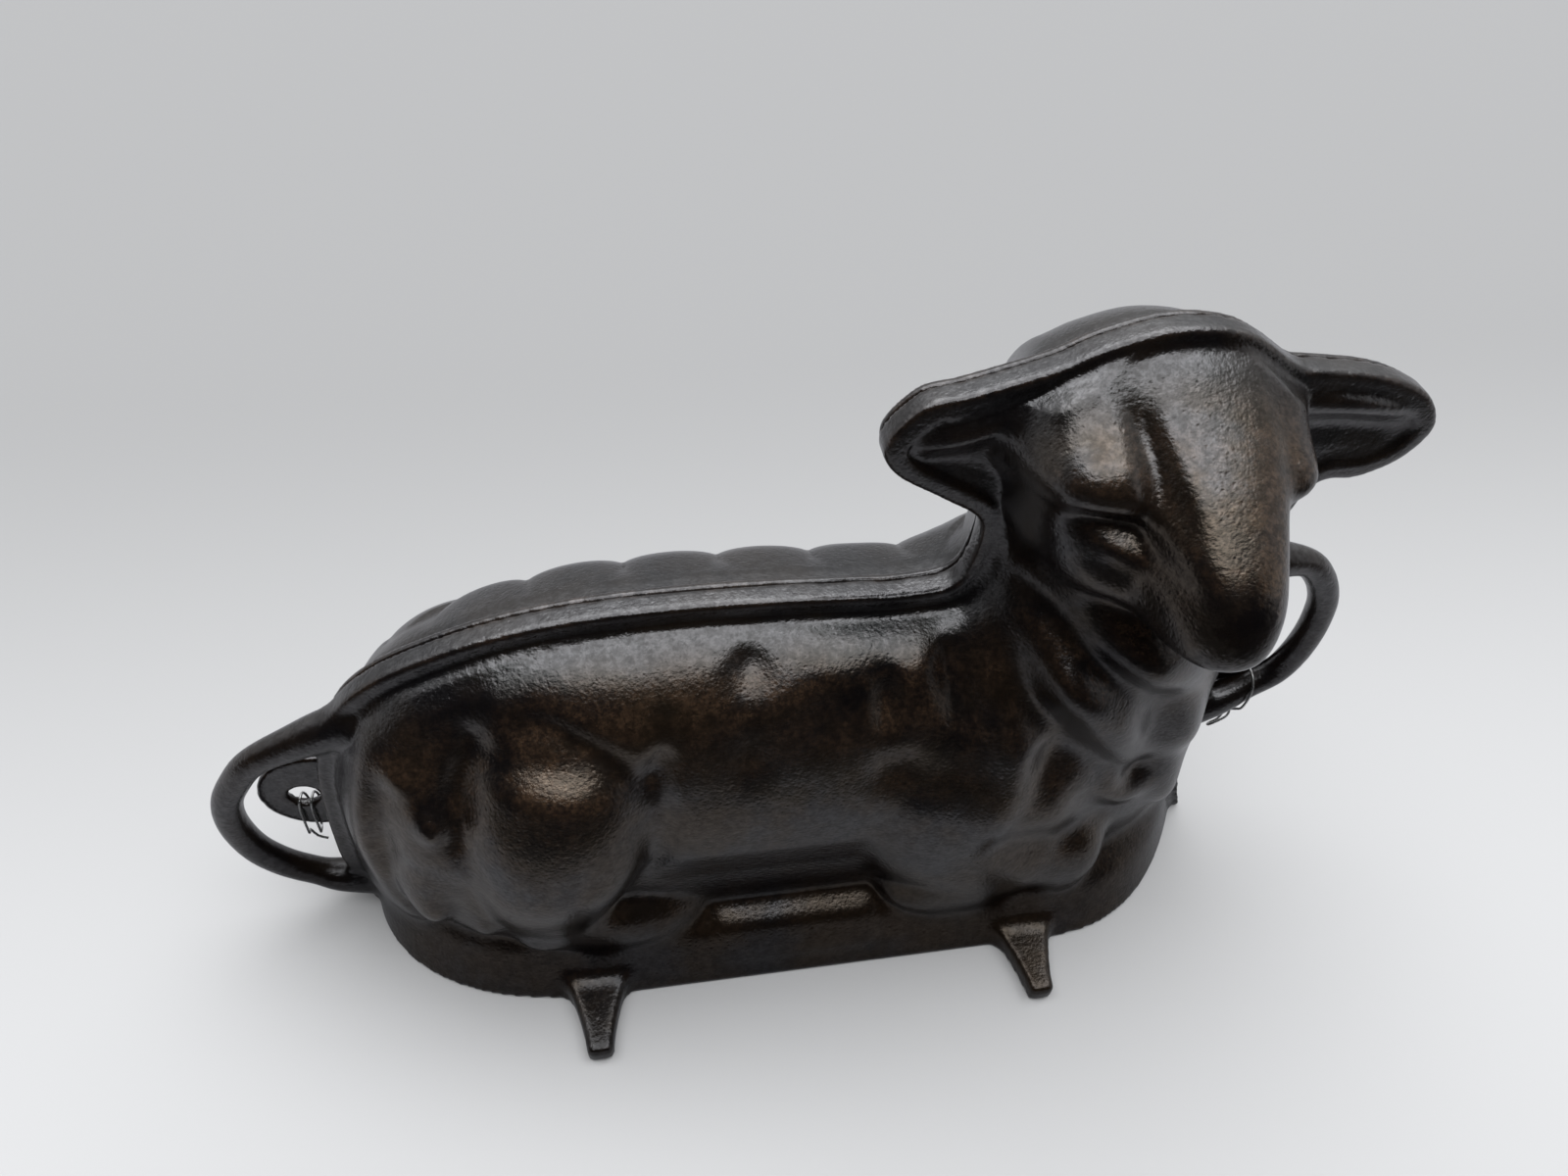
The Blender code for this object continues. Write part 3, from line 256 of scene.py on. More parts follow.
def smooth_line(anchors, parts=5):
    """Points on a curve that passes through every anchor."""
    known = np.array([anchors[0], *anchors, anchors[-1]], float)
    steps = np.linspace(0, 1, parts, endpoint=False)[:, None]
    spans = []
    for before, start, end, after in zip(known, known[1:], known[2:], known[3:]):
        bend = 2 * before - 5 * start + 4 * end - after
        twist = 3 * start - before - 3 * end + after
        spans.append(start + 0.5 * ((end - before) * steps + bend * steps**2 + twist * steps**3))
    return np.vstack([*spans, known[-1:]])


def distance_inside(x, z, line):
    """How far each point lies inside the line, which is open along the base."""
    nearest = np.full(np.shape(x), 1e9, np.float32)
    crossings = np.zeros(np.shape(x), int)
    for (x0, z0), (x1, z1) in zip(line, line[1:]):
        run, rise = x1 - x0, z1 - z0
        along = np.clip(((x - x0) * run + (z - z0) * rise) / (run * run + rise * rise), 0, 1)
        nearest = np.minimum(nearest, np.hypot(x - x0 - along * run, z - z0 - along * rise))
        height = z0 + (np.clip(x, min(x0, x1), max(x0, x1)) - x0) * rise / (run or 1e-9)
        crossings += (x >= min(x0, x1)) & (x < max(x0, x1)) & (height > z)
    return np.where(crossings % 2 == 1, nearest, -nearest)


def distance_to_route(x, z, route, values):
    """Distance to a route in the front view, and the route's value at the nearest point."""
    nearest = np.full(np.shape(x), 1e9)
    found = np.zeros(np.shape(x))
    for (x0, z0), (x1, z1), first, last in zip(route, route[1:], values, values[1:]):
        run, rise = x1 - x0, z1 - z0
        along = np.clip(((x - x0) * run + (z - z0) * rise) / (run * run + rise * rise), 0, 1)
        away = np.hypot(x - x0 - along * run, z - z0 - along * rise)
        closer = away < nearest
        nearest = np.where(closer, away, nearest)
        found = np.where(closer, first + (last - first) * along, found)
    return nearest, found


def ramp(value, low, high):
    """Nought up to low, one from high on, smooth in the middle; low may be the greater."""
    share = np.clip((value - low) / (high - low), 0, 1)
    return share * share * (3 - 2 * share)


def blend(first, second, width):
    """The greater of two fields, with a fillet of this width where they meet."""
    share = np.clip(0.5 + 0.5 * (first - second) / width, 0, 1)
    return second + (first - second) * share + width * share * (1 - share)


def local(x, z, shape):
    """Places measured along a turned ellipse's two axes, as shares of its half sizes."""
    cosine, sine = math.cos(math.radians(shape.turn)), math.sin(math.radians(shape.turn))
    across = ((x - shape.x) * cosine + (z - shape.z) * sine) / shape.half_x
    along = ((z - shape.z) * cosine - (x - shape.x) * sine) / shape.half_z
    return across, along


def lobe_depth(x, z, lobe):
    """A dome over the lobe's ellipse, with a steep fall round it."""
    across, along = local(x, z, lobe)
    square = across**2 + along**2
    dome = lobe.foot + lobe.rise * np.maximum(1 - square ** (lobe.power / 2), 0) ** (1 / lobe.power)
    fall = lobe.foot - LOBE_FALL * np.clip(np.sqrt(square) - 1, 0, 3)
    return np.where(square < 1, dome, fall)


def swell(x, z, at_x, at_z, half_x, half_z, height, turn=0.0):
    """A soft bump, or a dent where height is below nought."""
    across, along = local(x, z, Lobe(at_x, at_z, half_x, half_z, 0, 0, turn))
    return height * np.exp(-(across**2) - along**2)


def stroke(x, z, height, width, *points):
    """A ridge along a curve that fades at both ends, or a crease where height is below nought."""
    route = smooth_line(points, parts=4)
    strength = np.sin(np.linspace(STROKE_FADE, math.pi - STROKE_FADE, len(route))) ** 0.6
    away, share = distance_to_route(x, z, route, strength)
    return height * share * np.exp(-((away / width) ** 2))


def add_lobes(x, z, depth, fillet, *lobes):
    for lobe in lobes:
        depth = blend(depth, lobe_depth(x, z, lobe), fillet)
    return depth


def add_swells(x, z, depth, *swells):
    """Each is (x, z, half width, half height, rise) and sometimes a turn."""
    for measures in swells:
        depth = depth + swell(x, z, *measures)
    return depth


def add_strokes(x, z, depth, *strokes):
    """Each is (rise, half width) and the points that it runs through."""
    for height, width, *points in strokes:
        depth = depth + stroke(x, z, height, width, *points)
    return depth


def base_plan(x, depth):
    """How deep the base reaches from the seam, full in the middle and rounded at both ends."""
    left_end, right_end = RUMP_X + 5.5, CHEST_X + BASE_FLARE
    left = np.clip((left_end + BASE_LEFT_ROUND - x) / BASE_LEFT_ROUND, 0, 1)
    right = np.clip((x - right_end + BASE_RIGHT_ROUND) / BASE_RIGHT_ROUND, 0, 1)
    return depth * np.minimum(np.sqrt(1 - left**BASE_LEFT_POWER), 1 - right**BASE_RIGHT_POWER)


def plinth(x, z, depth):
    """The strip round the base, which leans in and ends in a slope at its top."""
    strip = base_plan(x, depth) - PLINTH_DRAFT * z
    return strip - np.maximum(z - PLINTH_HEIGHT, 0)


def panelled_plinth(x, z):
    """The front's strip, with the raised block in its middle."""
    strip = plinth(x, z, BASE_FRONT)
    panel = ramp(x, PANEL_LEFT - 2, PANEL_LEFT + 2) * ramp(x, PANEL_RIGHT + 2, PANEL_RIGHT - 2)
    panel = panel * ramp(z, PANEL_TOP + 2, PANEL_TOP - 1)
    return strip + panel * (np.maximum(z - PLINTH_HEIGHT, 0) + PANEL_RELIEF * ramp(z, 5, 9))


def barrel(inset, width, full):
    """A body that rises steeply at the rim and is at its full depth one width inside it."""
    share = np.clip(inset / width, 0, 1)
    body = full * np.sqrt(np.maximum(1 - (1 - share) ** BODY_POWER, 0))
    return np.where(inset > 0, body, OUTER_SLOPE * inset)


def ear_share(x, z):
    """One over both ears and nought elsewhere, with a soft change between."""
    left = ramp(x, 228, 214) * ramp(z, 146, 154)
    right = ramp(x, 272, 286) * ramp(z, 142, 150)
    return np.maximum(left, right)


def rim_margin(x, z):
    """The rim's bare edge, narrower over the forehead."""
    return RIM_MARGIN - 2.2 * ramp(z, 172, 190) * ramp(x, 214, 224) * ramp(x, 290, 280)


def ears(x, z, inset):
    """A fold of skin along the middle of each ear, between a groove and a slit."""
    return add_strokes(
        x, z, EAR_FLOOR + 0.6 * ramp(inset, 2, 8),
        (5.0, 4.4, (190, 173.5), (197, 176), (206, 179), (215, 183), (223, 187)),
        (-3.0, 3.0, (194, 170), (201, 168.5), (209, 166.5), (217, 164)),
        (2.0, 4.0, (191, 165), (198, 160), (207, 156), (216, 153)),
        (5.0, 4.4, (318, 175), (309, 178), (299, 180), (289, 181), (280, 182)),
        (-3.0, 3.2, (315, 170), (306, 171), (296, 172), (286, 171)),
        (2.0, 4.0, (318, 163), (310, 159), (300, 157), (290, 155)),
    )


def loft(x, z, centre, power, fall, *levels):
    """A form round an upright middle line, given by sections from its lowest to its highest.

    Each level is (z, depth in the middle, depth at the side, half width). A section's dome follows
    the power, and past its sides the depth drops by the fall for every half width.
    """
    rows = smooth_line(levels)
    middle = np.interp(z, rows[:, 0], rows[:, 1], left=OFF_LOFT, right=OFF_LOFT)
    side = np.interp(z, rows[:, 0], rows[:, 2], left=OFF_LOFT, right=OFF_LOFT)
    half = np.interp(z, rows[:, 0], rows[:, 3])
    across = np.abs(x - centre) / half
    dome = side + (middle - side) * np.maximum(1 - across**power, 0) ** (1 / power)
    return np.where(across < 1, dome, side - fall * (across - 1))


def skull(x, z):
    return loft(
        x, z, 249.5, 2.3, 90,
        (138, 22, 6, 18), (143, 28.5, 8, 24), (147, 37, 9, 29), (153, 40.5, 9, 32), (161, 40, 9, 33),
        (168, 38, 9, 34), (173, 36, 8, 34), (177, 34.5, 8, 34), (181, 31.5, 8, 34), (187, 23.5, 7, 33),
        (193, 14, 6, 31), (199, 4.5, 3, 29),
    )


def muzzle(x, z):
    return loft(
        x, z, 254.5, 2.2, 45,
        (141, 34, 28, 8), (142.5, 48, 30, 10.5), (144.5, 56, 34, 13), (148.5, 61, 38, 14.4),
        (153.5, 62, 38, 15.4), (160, 61, 34, 16), (165, 58.5, 30, 16), (171, 52.5, 27, 16),
        (177, 42.5, 23, 15.6), (183, 31, 17, 15), (190, 17, 8, 14), (199, 0, -6, 14),
    )


def head(x, z, depth):
    """Skull, both brows and the muzzle, then the lids and creases and last the eyes."""
    depth = blend(depth, skull(x, z), 4)
    depth = add_lobes(x, z, depth, 6, Lobe(230, 174.5, 14, 11, 23, 11.5), Lobe(274, 175, 9, 8, 20, 13))
    depth = blend(depth, muzzle(x, z), 16)
    depth = add_strokes(
        x, z, depth,
        (-6.8, 3.8, (219, 170.5), (226, 169.6), (232, 168.4), (238, 167), (243, 162)),
        (-1.4, 3.0, (226, 162), (232, 160), (239, 157)),
        (-5.5, 3.2, (236, 190), (237.5, 185), (240, 179), (242, 173)),
        (-4.0, 3.2, (283, 172), (278, 168.5), (271, 167)),
    )
    return add_swells(x, z, depth, (232.5, 165.2, 5.5, 3.0, 3.0, -18), (276, 163, 5, 4, 2.4))


def flank_marks(x, z):
    """Dents and ridges of the fleece along the flank."""
    marks = add_swells(
        x, z, 0,
        (152, 115.8, 6, 5, -5.6),
        (145, 119, 6, 4, 1.4),
        (162, 110, 7, 5, 1.0),
        (171, 104, 8, 6, -2.0),
        (176, 114, 8, 5, 1.8),
        (151, 96, 5, 7, -2.0),
        (195, 115, 8, 7, 2.4),
        (188, 104, 4, 7, -4.6),
        (191, 87, 7.5, 7, -2.6),
    )
    return add_strokes(
        x, z, marks,
        (-6.0, 5.5, (206, 120), (206.5, 112), (208, 104), (211, 96)),
        (-4.0, 5.0, (220, 130), (222, 116), (226, 103), (232, 94)),
    )


def knee(x, z):
    return loft(
        x, z, 98.5, 2.2, 90,
        (18, 36, 30, 8), (28, 42, 32, 13), (38, 46.5, 32, 18.5), (48, 49.5, 31, 22.5), (58, 51, 30, 24.5),
        (66, 50, 30, 25), (74, 48.5, 29, 25), (81, 46.5, 28, 24.5), (87, 44, 27, 23),
        (91, 42, 26, 21), (94, 38, 25, 18), (97, 31, 22, 13.5), (99, 25, 19, 8),
    )


def haunch(x, z, depth):
    """The folded hind leg under its fleece, with the knee at the right and the hoof below it."""
    depth = add_lobes(
        x, z, depth, 6,
        Lobe(85, 54, 32, 50, 18, 21, 0, 2.2),
        Lobe(66, 44, 15, 20, 23, 16, 18),
        Lobe(82, 38, 14, 20, 24, 19),
        Lobe(96, 37, 16, 21, 24, 22),
    )
    depth = blend(depth, knee(x + 0.18 * np.maximum(62 - z, 0), z), 3.5)
    depth = add_lobes(x, z, depth, 7, Lobe(109, 23.5, 30, 13, 30, 14.5, -8, 2.2))
    depth = add_strokes(
        x, z, depth,
        (3.4, 5.0, (56, 97), (66, 103), (78, 106), (90, 108)),
        (-4.4, 4.2, (82, 101), (77, 92), (73, 81), (72, 69)),
        (-2.8, 3.2, (82, 106), (90, 104), (99, 104.5), (108, 101), (116, 97), (121, 90)),
        (-1.1, 3.4, (70, 103), (77, 106), (86, 107), (94, 106)),
        (-3.2, 4.2, (121, 95), (125, 86), (126, 74), (124, 60), (120, 48)),
        (-4.0, 3.6, (129, 100), (127, 94), (124, 87)),
        (-2.6, 3.4, (67, 50), (67, 40), (65, 31)),
        (-2.6, 3.4, (79, 42), (79, 31), (78, 23)),
    )
    return add_swells(
        x, z, depth,
        (79, 100, 5, 4, -2.5),
        (77, 93, 19, 20, -6.0),
        (66, 77, 4.5, 4, 3.4),
        (58, 88, 4.5, 4, 2.6),
        (88, 105, 5, 4, 2.0),
        (60, 40, 6, 8, 2.4),
        (73, 30, 6, 8, 2.6),
        (87, 24, 7, 6, 2.4),
    )


def rump_fleece(x, z):
    return add_strokes(
        x, z, 0,
        (3.4, 5.0, (49, 97), (46, 78), (44, 58), (48, 34), (52, 20)),
        (-3.6, 4.4, (56, 90), (52, 72), (52, 54), (56, 38), (62, 22)),
    )


def front_leg(x, z, depth):
    """The folded front leg, its hoof and the fleece that hangs over them."""
    depth = add_lobes(
        x, z, depth, 6,
        Lobe(210, 52, 26, 34, 26, 20, 0, 2.4),
        Lobe(226, 36, 28, 22, 26, 21, -8, 2.6),
        Lobe(236, 60, 12, 16, 30, 15),
        Lobe(251, 30, 14, 19, 28, 17, -12, 2.6),
        Lobe(213, 22, 21, 10, 36, 9.5, -10, 2.6),
    )
    depth = add_strokes(
        x, z, depth,
        (4.2, 8.5, (221, 99), (224, 86), (223, 72), (216, 60)),
        (-5.5, 6.5, (232, 92), (234, 84), (233, 76)),
        (-4.0, 5.0, (245, 68), (254, 59), (263, 46)),
    )
    return add_swells(x, z, depth, (236, 55, 5, 9, -2.5))


def chest_fleece(x, z, depth):
    """Locks of wool that hang down the neck and the chest toward the head end."""
    depth = add_lobes(
        x, z, depth, 5,
        Lobe(270, 66, 25, 60, 6, 26),
        Lobe(246, 97, 12, 27, 31, 10.5, 34),
        Lobe(260, 66, 11, 15, 28, 12, 36),
        Lobe(273, 88, 10, 20, 22, 13, 30),
        Lobe(279, 57, 9, 22, 20, 13, 20),
    )
    depth = add_strokes(
        x, z, depth,
        (4.0, 8.0, (224, 145), (232, 140), (241, 131), (253, 122), (268, 112), (281, 101)),
        (-6.0, 5.0, (220, 140), (229, 131), (241, 120), (252, 111), (263, 102)),
        (3.6, 8.5, (217, 129), (226, 120), (236, 115), (247, 110)),
        (-5.0, 5.6, (228, 108), (235, 98), (244, 87), (255, 74), (265, 67)),
        (-3.0, 7.0, (263, 103), (265, 93), (266, 84)),
    )
    return add_swells(x, z, depth, (266, 68, 5, 6, -8))


def soften(depth, spread):
    """Rounds every crease and ridge as sand casting does."""
    reach = int(3 * spread / STEP)
    weights = np.exp(-0.5 * (np.arange(-reach, reach + 1) * STEP / spread) ** 2)
    for axis in (0, 1):
        padded = np.pad(depth, [(reach, reach) if n == axis else (0, 0) for n in (0, 1)], "edge")
        parts = [np.take(padded, range(k, k + depth.shape[axis]), axis) for k in range(2 * reach + 1)]
        depth = sum(weight * part for weight, part in zip(weights / weights.sum(), parts))
    return depth


def front_relief(x, z, line):
    """Depth of the face half's outer surface in front of the seam."""
    inset = distance_inside(x, z, line) - rim_margin(x, z)
    full = np.interp(z, FLANK_HEIGHTS, FLANK_DEPTHS) * np.interp(x, (250, CHEST_X), (1, 0.84))
    depth = barrel(inset, FLANK_ROUND, full)
    share = ear_share(x, z)
    depth = depth * (1 - share) + ears(x, z, inset) * share
    depth = depth + rump_fleece(x, z) * ramp(inset, 0, 6)
    depth = haunch(x, z, depth)
    depth = chest_fleece(x, z, depth)
    depth = front_leg(x, z, depth)
    depth = head(x, z, depth)
    depth = depth + flank_marks(x, z) * ramp(inset, 0, 9)
    depth = soften(blend(depth, panelled_plinth(x, z), PLINTH_FILLET), IRON_SOFTNESS)
    woolly = ramp(x, 204, 214) * ramp(z, 152, 142)
    depth = depth + (soften(depth, WOOL_SOFTNESS) - depth) * woolly
    low = np.where(inset > -RIM_MARGIN, depth, OFF_CASTING)
    return np.where(z < PLINTH_HEIGHT, low, np.minimum(depth, RIM_SLOPE * inset)), inset


def locks(x, z):
    """Rows of round locks of wool, each row half a lock aside from the one below."""
    row = np.floor(z / LOCK_HEIGHT)
    across = (x / LOCK_WIDTH + row / 2) % 1 - 0.5
    along = z / LOCK_HEIGHT - row - 0.5
    return LOCK_DEPTH * np.sqrt(np.maximum(1 - (across / 0.52) ** 2 - (along / 0.56) ** 2, 0))


def back_relief(x, z, line):
    """Depth of the tail half's outer surface behind the seam."""
    inset = distance_inside(x, z, line) - RIM_MARGIN
    depth = barrel(inset, BACK_ROUND, BACK_DEPTH * np.interp(z, (20, 60), (0.78, 0.95)))
    depth = add_lobes(x, z, depth, 8, Lobe(252, 156, 30, 34, 2, 20, 0, 1.6))
    share = ear_share(x, z)
    depth = depth + locks(x, z) * ramp(inset, 1, 8) * (1 - share) * ramp(z, 165, 145)
    round_ear = BACK_RIM + BACK_EAR_DEPTH * np.sqrt(np.clip(inset / BACK_EAR_ROUND, 0, 1))
    depth = depth * (1 - share) + np.minimum(depth, round_ear) * share
    depth = np.minimum(depth, RIM_SLOPE * inset)
    strip = np.where(inset > -RIM_MARGIN, plinth(x, z, BASE_BACK), OFF_CASTING)
    return blend(np.minimum(depth, BASE_BACK - 1), strip, BACK_PLINTH_FILLET), inset


def hollow_of(depth, wall):
    """The depth of a hollow that stays one wall inside the relief."""
    reach = int(wall / STEP)
    hollow = depth - wall
    for i in range(-reach, reach + 1):
        for j in range(-reach, reach + 1):
            aside = (i * i + j * j) * STEP * STEP
            if aside <= wall * wall:
                hollow = np.minimum(hollow, np.roll(depth, (i, j), (0, 1)) - math.sqrt(wall * wall - aside))
    return hollow


def left_handle_route():
    left = LEFT_LOOP_X + BAR_RADIUS
    return [
        (RUMP_X + 16.5, 89.0),
        (RUMP_X + 3.5, 83.5),
        (left + 9.5, 75.5),
        (left + 1.0, 65.0),
        (left - 3.2, 56.0),
        (left - BAR_RADIUS, 45.0),
        (left - 2.0, 32.5),
        (left + 3.5, 23.0),
        (left + 11.0, 16.2),
        (RUMP_X - 3.0, 12.0),
        (RUMP_X + 10.0, 9.5),
    ]


def right_handle_route():
    right = RIGHT_LOOP_X - BAR_RADIUS
    hole_x, hole_z, _ = RIGHT_HOLE
    return [
        (CHEST_X - 11.0, 125.0),
        (CHEST_X + 2.0, 123.5),
        (right - 9.8, 121.0),
        (right - 3.0, 114.5),
        (right + 1.8, 106.0),
        (right + 3.7, 98.0),
        (right + BAR_RADIUS, 89.0),
        (right + 3.2, 79.5),
        (right, 71.5),
        (hole_x + 1.7, hole_z - 9.5),
        (hole_x - 7.0, hole_z - 15.5),
        (CHEST_X - 8.0, hole_z - 21.5),
    ]


def handle_field(x, z, y, anchors):
    """Signed distance to a round bar along the anchors, thicker at both roots."""
    route = smooth_line(anchors)
    count = len(route)
    from_root = np.minimum(np.arange(count), np.arange(count)[::-1]) / (count / len(anchors))
    radii = BAR_RADIUS * (1 + (ROOT_THICKENING - 1) * (1 - ramp(from_root, *ROOT_SPANS)))
    away, radius = distance_to_route(x, z, route, radii)
    return np.sqrt(away[:, None, :] ** 2 + (y + BAR_DEPTH) ** 2) - radius[:, None, :]


def slab(inside, y, near, far, edge):
    """Signed distance to a plate with rounded edges, from each point's distance inside its outline."""
    side = edge - inside[:, None, :]
    through = np.abs(y - (near + far) / 2) - (far - near) / 2 + edge
    outside = np.sqrt(np.maximum(side, 0) ** 2 + np.maximum(through, 0) ** 2)
    return outside + np.minimum(np.maximum(side, through), 0) - edge


def relief_field(depth, y, side):
    """Near-distance to the relief, from its depth and its slope."""
    across, along = np.gradient(depth, STEP)
    slope = np.sqrt(1 + np.minimum(across**2 + along**2, STEEPEST**2))
    return (side * y - depth[:, None, :]) / slope[:, None, :]


def foot_field(x, y, z, centre):
    """Signed distance, near enough, to a tongue that tapers to its tip."""
    share = np.clip((-y - BASE_FRONT + FOOT_OVERLAP) / (FOOT_REACH - BASE_FRONT + FOOT_OVERLAP), 0, 1)
    half_width = (FOOT_TIP_WIDTH + (FOOT_ROOT_WIDTH - FOOT_TIP_WIDTH) * (1 - share) ** 1.6) / 2
    height = FOOT_ROOT_HEIGHT + (FOOT_TIP_HEIGHT - FOOT_ROOT_HEIGHT) * share
    sides = np.abs(x - centre) - half_width + FOOT_EDGE
    top = z - height + FOOT_EDGE
    tip = -y - FOOT_REACH + FOOT_EDGE
    outside = np.sqrt(np.maximum(sides, 0) ** 2 + np.maximum(top, 0) ** 2 + np.maximum(tip, 0) ** 2)
    return outside + np.minimum(np.maximum(np.maximum(sides, top), tip), 0) - FOOT_EDGE


def skin(field, origin):
    """Vertices and quads round the space where the field is below nought."""
    inside = field < 0
    mixed = np.zeros(np.array(field.shape) - 1, bool)
    first = inside[:-1, :-1, :-1]
    corners = [(i, j, k) for i in (0, 1) for j in (0, 1) for k in (0, 1)]
    for i, j, k in corners[1:]:
        mixed |= first != inside[i:i - 1 or None, j:j - 1 or None, k:k - 1 or None]
    cells = np.argwhere(mixed)
    place = np.zeros((len(cells), 3))
    count = np.zeros(len(cells))
    for a in corners:
        for axis in range(3):
            if a[axis]:
                continue
            b = tuple(v + (n == axis) for n, v in enumerate(a))
            start = field[tuple((cells + a).T)]
            end = field[tuple((cells + b).T)]
            crosses = (start < 0) != (end < 0)
            share = np.where(crosses, start / np.where(crosses, start - end, 1), 0)
            point = np.array(a) + share[:, None] * (np.array(b) - a)
            place += crosses[:, None] * point
            count += crosses
    verts = (cells + place / count[:, None]) * STEP + origin
    number = np.full(mixed.shape, -1, np.int64)
    number[tuple(cells.T)] = np.arange(len(cells))
    faces = []
    for axis in range(3):
        low = [slice(None)] * 3
        high = [slice(None)] * 3
        low[axis], high[axis] = slice(None, -1), slice(1, None)
        starts = inside[tuple(low)]
        changes = np.argwhere(starts != inside[tuple(high)])
        leaving = starts[tuple(changes.T)]
        u, v = [n for n in range(3) if n != axis]
        ring = []
        for du, dv in ((-1, -1), (0, -1), (0, 0), (-1, 0)):
            cell = changes.copy()
            cell[:, u] += du
            cell[:, v] += dv
            ring.append(number[tuple(cell.T)])
        quads = np.stack(ring, axis=1)
        flip = leaving if axis == 1 else ~leaving
        quads[flip] = quads[flip][:, ::-1]
        faces.append(quads)
    return verts, np.vstack(faces)


def add_object(name, data):
    thing = bpy.data.objects.new(name, data)
    bpy.context.scene.collection.objects.link(thing)
    return thing


def mesh_of(name, verts, faces):
    """A smooth mesh of quads from arrays of places in millimetres and of vertex numbers."""
    mesh = bpy.data.meshes.new(name)
    mesh.vertices.add(len(verts))
    world = np.empty((len(verts), 3), np.float32)
    world[:, 0] = (verts[:, 0] - MIDDLE_X) / 1000
    world[:, 1] = (verts[:, 1] + SEAM_Y) / 1000
    world[:, 2] = verts[:, 2] / 1000
    mesh.vertices.foreach_set("co", world.ravel())
    mesh.loops.add(faces.size)
    mesh.loops.foreach_set("vertex_index", faces.ravel().astype(np.int32))
    mesh.polygons.add(len(faces))
    mesh.polygons.foreach_set("loop_start", np.arange(0, faces.size, 4, dtype=np.int32))
    mesh.update(calc_edges=True)
    mesh.validate()
    mesh.shade_smooth()
    return add_object(name, mesh)


def axes(y_low, y_high):
    """The grid's places along each axis, round a casting between these depths."""
    left, right = LEFT_LOOP_X - BAR_RADIUS, RIGHT_LOOP_X + BAR_RADIUS
    x = np.arange(left - GRID_MARGIN, right + GRID_MARGIN, STEP)
    y = np.arange(y_low - GRID_MARGIN, y_high + GRID_MARGIN, STEP)
    z = np.arange(-GRID_MARGIN, CROWN_Z + GRID_MARGIN, STEP)
    return x, y, z


def join(first, second, fillet):
    """The field of two forms together, with a fillet between them."""
    return -blend(-first, -second, fillet)


def shell(outer, depth, inset, y, z, side):
    """Hollows a casting to its wall, with the hollow open at the seam."""
    hollow = hollow_of(depth, WALL)
    space = relief_field(hollow, y, side)
    space = blend(space, (WALL - inset)[:, None, :], HOLLOW_SIDE_FILLET)
    space = blend(space, WALL - z, HOLLOW_FLOOR_FILLET)
    return np.maximum(outer, -space)


def front_half(line):
    """The face half: relief, rim, two loop handles and two feet, hollowed and cut at the seam."""
    x, y, z = axes(-FOOT_REACH, 0)
    flat_x, flat_z = np.meshgrid(x, z, indexing="ij")
    x3, y3, z3 = x[:, None, None], y[None, :, None], z[None, None, :]
    depth, inset = front_relief(flat_x, flat_z, line)
    ear_drop = (FRONT_RIM - EAR_FLOOR) * ear_share(flat_x, flat_z) * ramp(inset, -0.5, 2)
    inside = inset + rim_margin(flat_x, flat_z)
    rim = slab(inside, y3, (ear_drop - FRONT_RIM)[:, None, :], PAST_SEAM, RIM_EDGE)
    field = join(relief_field(depth, y3, -1), rim, RIM_FILLET)
    for route in (left_handle_route(), right_handle_route()):
        field = join(field, handle_field(flat_x, flat_z, y3, route), BAR_FILLET)
    for centre in FOOT_CENTRES:
        field = join(field, foot_field(x3, y3, z3, centre), FOOT_FILLET)
    field = shell(field, depth, inset, y3, z3, -1)
    field = np.maximum(np.maximum(field, y3), -z3)
    return mesh_of("front_casting", *skin(field, (x[0], y[0], z[0])))


def lug_field(x, z, y, lug, far):
    at_x, at_z, radius = lug
    inside = radius - np.hypot(x - at_x, z - at_z)
    return slab(inside, y, -PAST_SEAM, far, LUG_EDGE)


def back_half(line):
    """The tail half: relief, rim and two lugs, hollowed, with the lugs' holes, and cut at the seam."""
    x, y, z = axes(0, BASE_BACK)
    flat_x, flat_z = np.meshgrid(x, z, indexing="ij")
    y3, z3 = y[None, :, None], z[None, None, :]
    depth, inset = back_relief(flat_x, flat_z, line)
    far = SEAM_GAP + BACK_RIM
    rim = slab(inset + RIM_MARGIN - BACK_RIM_INSET, y3, -PAST_SEAM, far, RIM_EDGE)
    field = join(relief_field(depth, y3, 1), rim, BACK_RIM_FILLET)
    for lug in (LEFT_LUG, RIGHT_LUG):
        field = join(field, lug_field(flat_x, flat_z, y3, lug, far), LUG_FILLET)
    field = shell(field, depth, inset, y3, z3, 1)
    for at_x, at_z, radius in (LEFT_HOLE, RIGHT_HOLE):
        hole = np.hypot(flat_x - at_x, flat_z - at_z) - radius
        hole = np.maximum(hole[:, None, :], y3 - 2 * far)
        field = np.maximum(field, -hole)
    field = np.maximum(np.maximum(field, SEAM_GAP - y3), -z3)
    return mesh_of("back_casting", *skin(field, (x[0], y[0], z[0])))


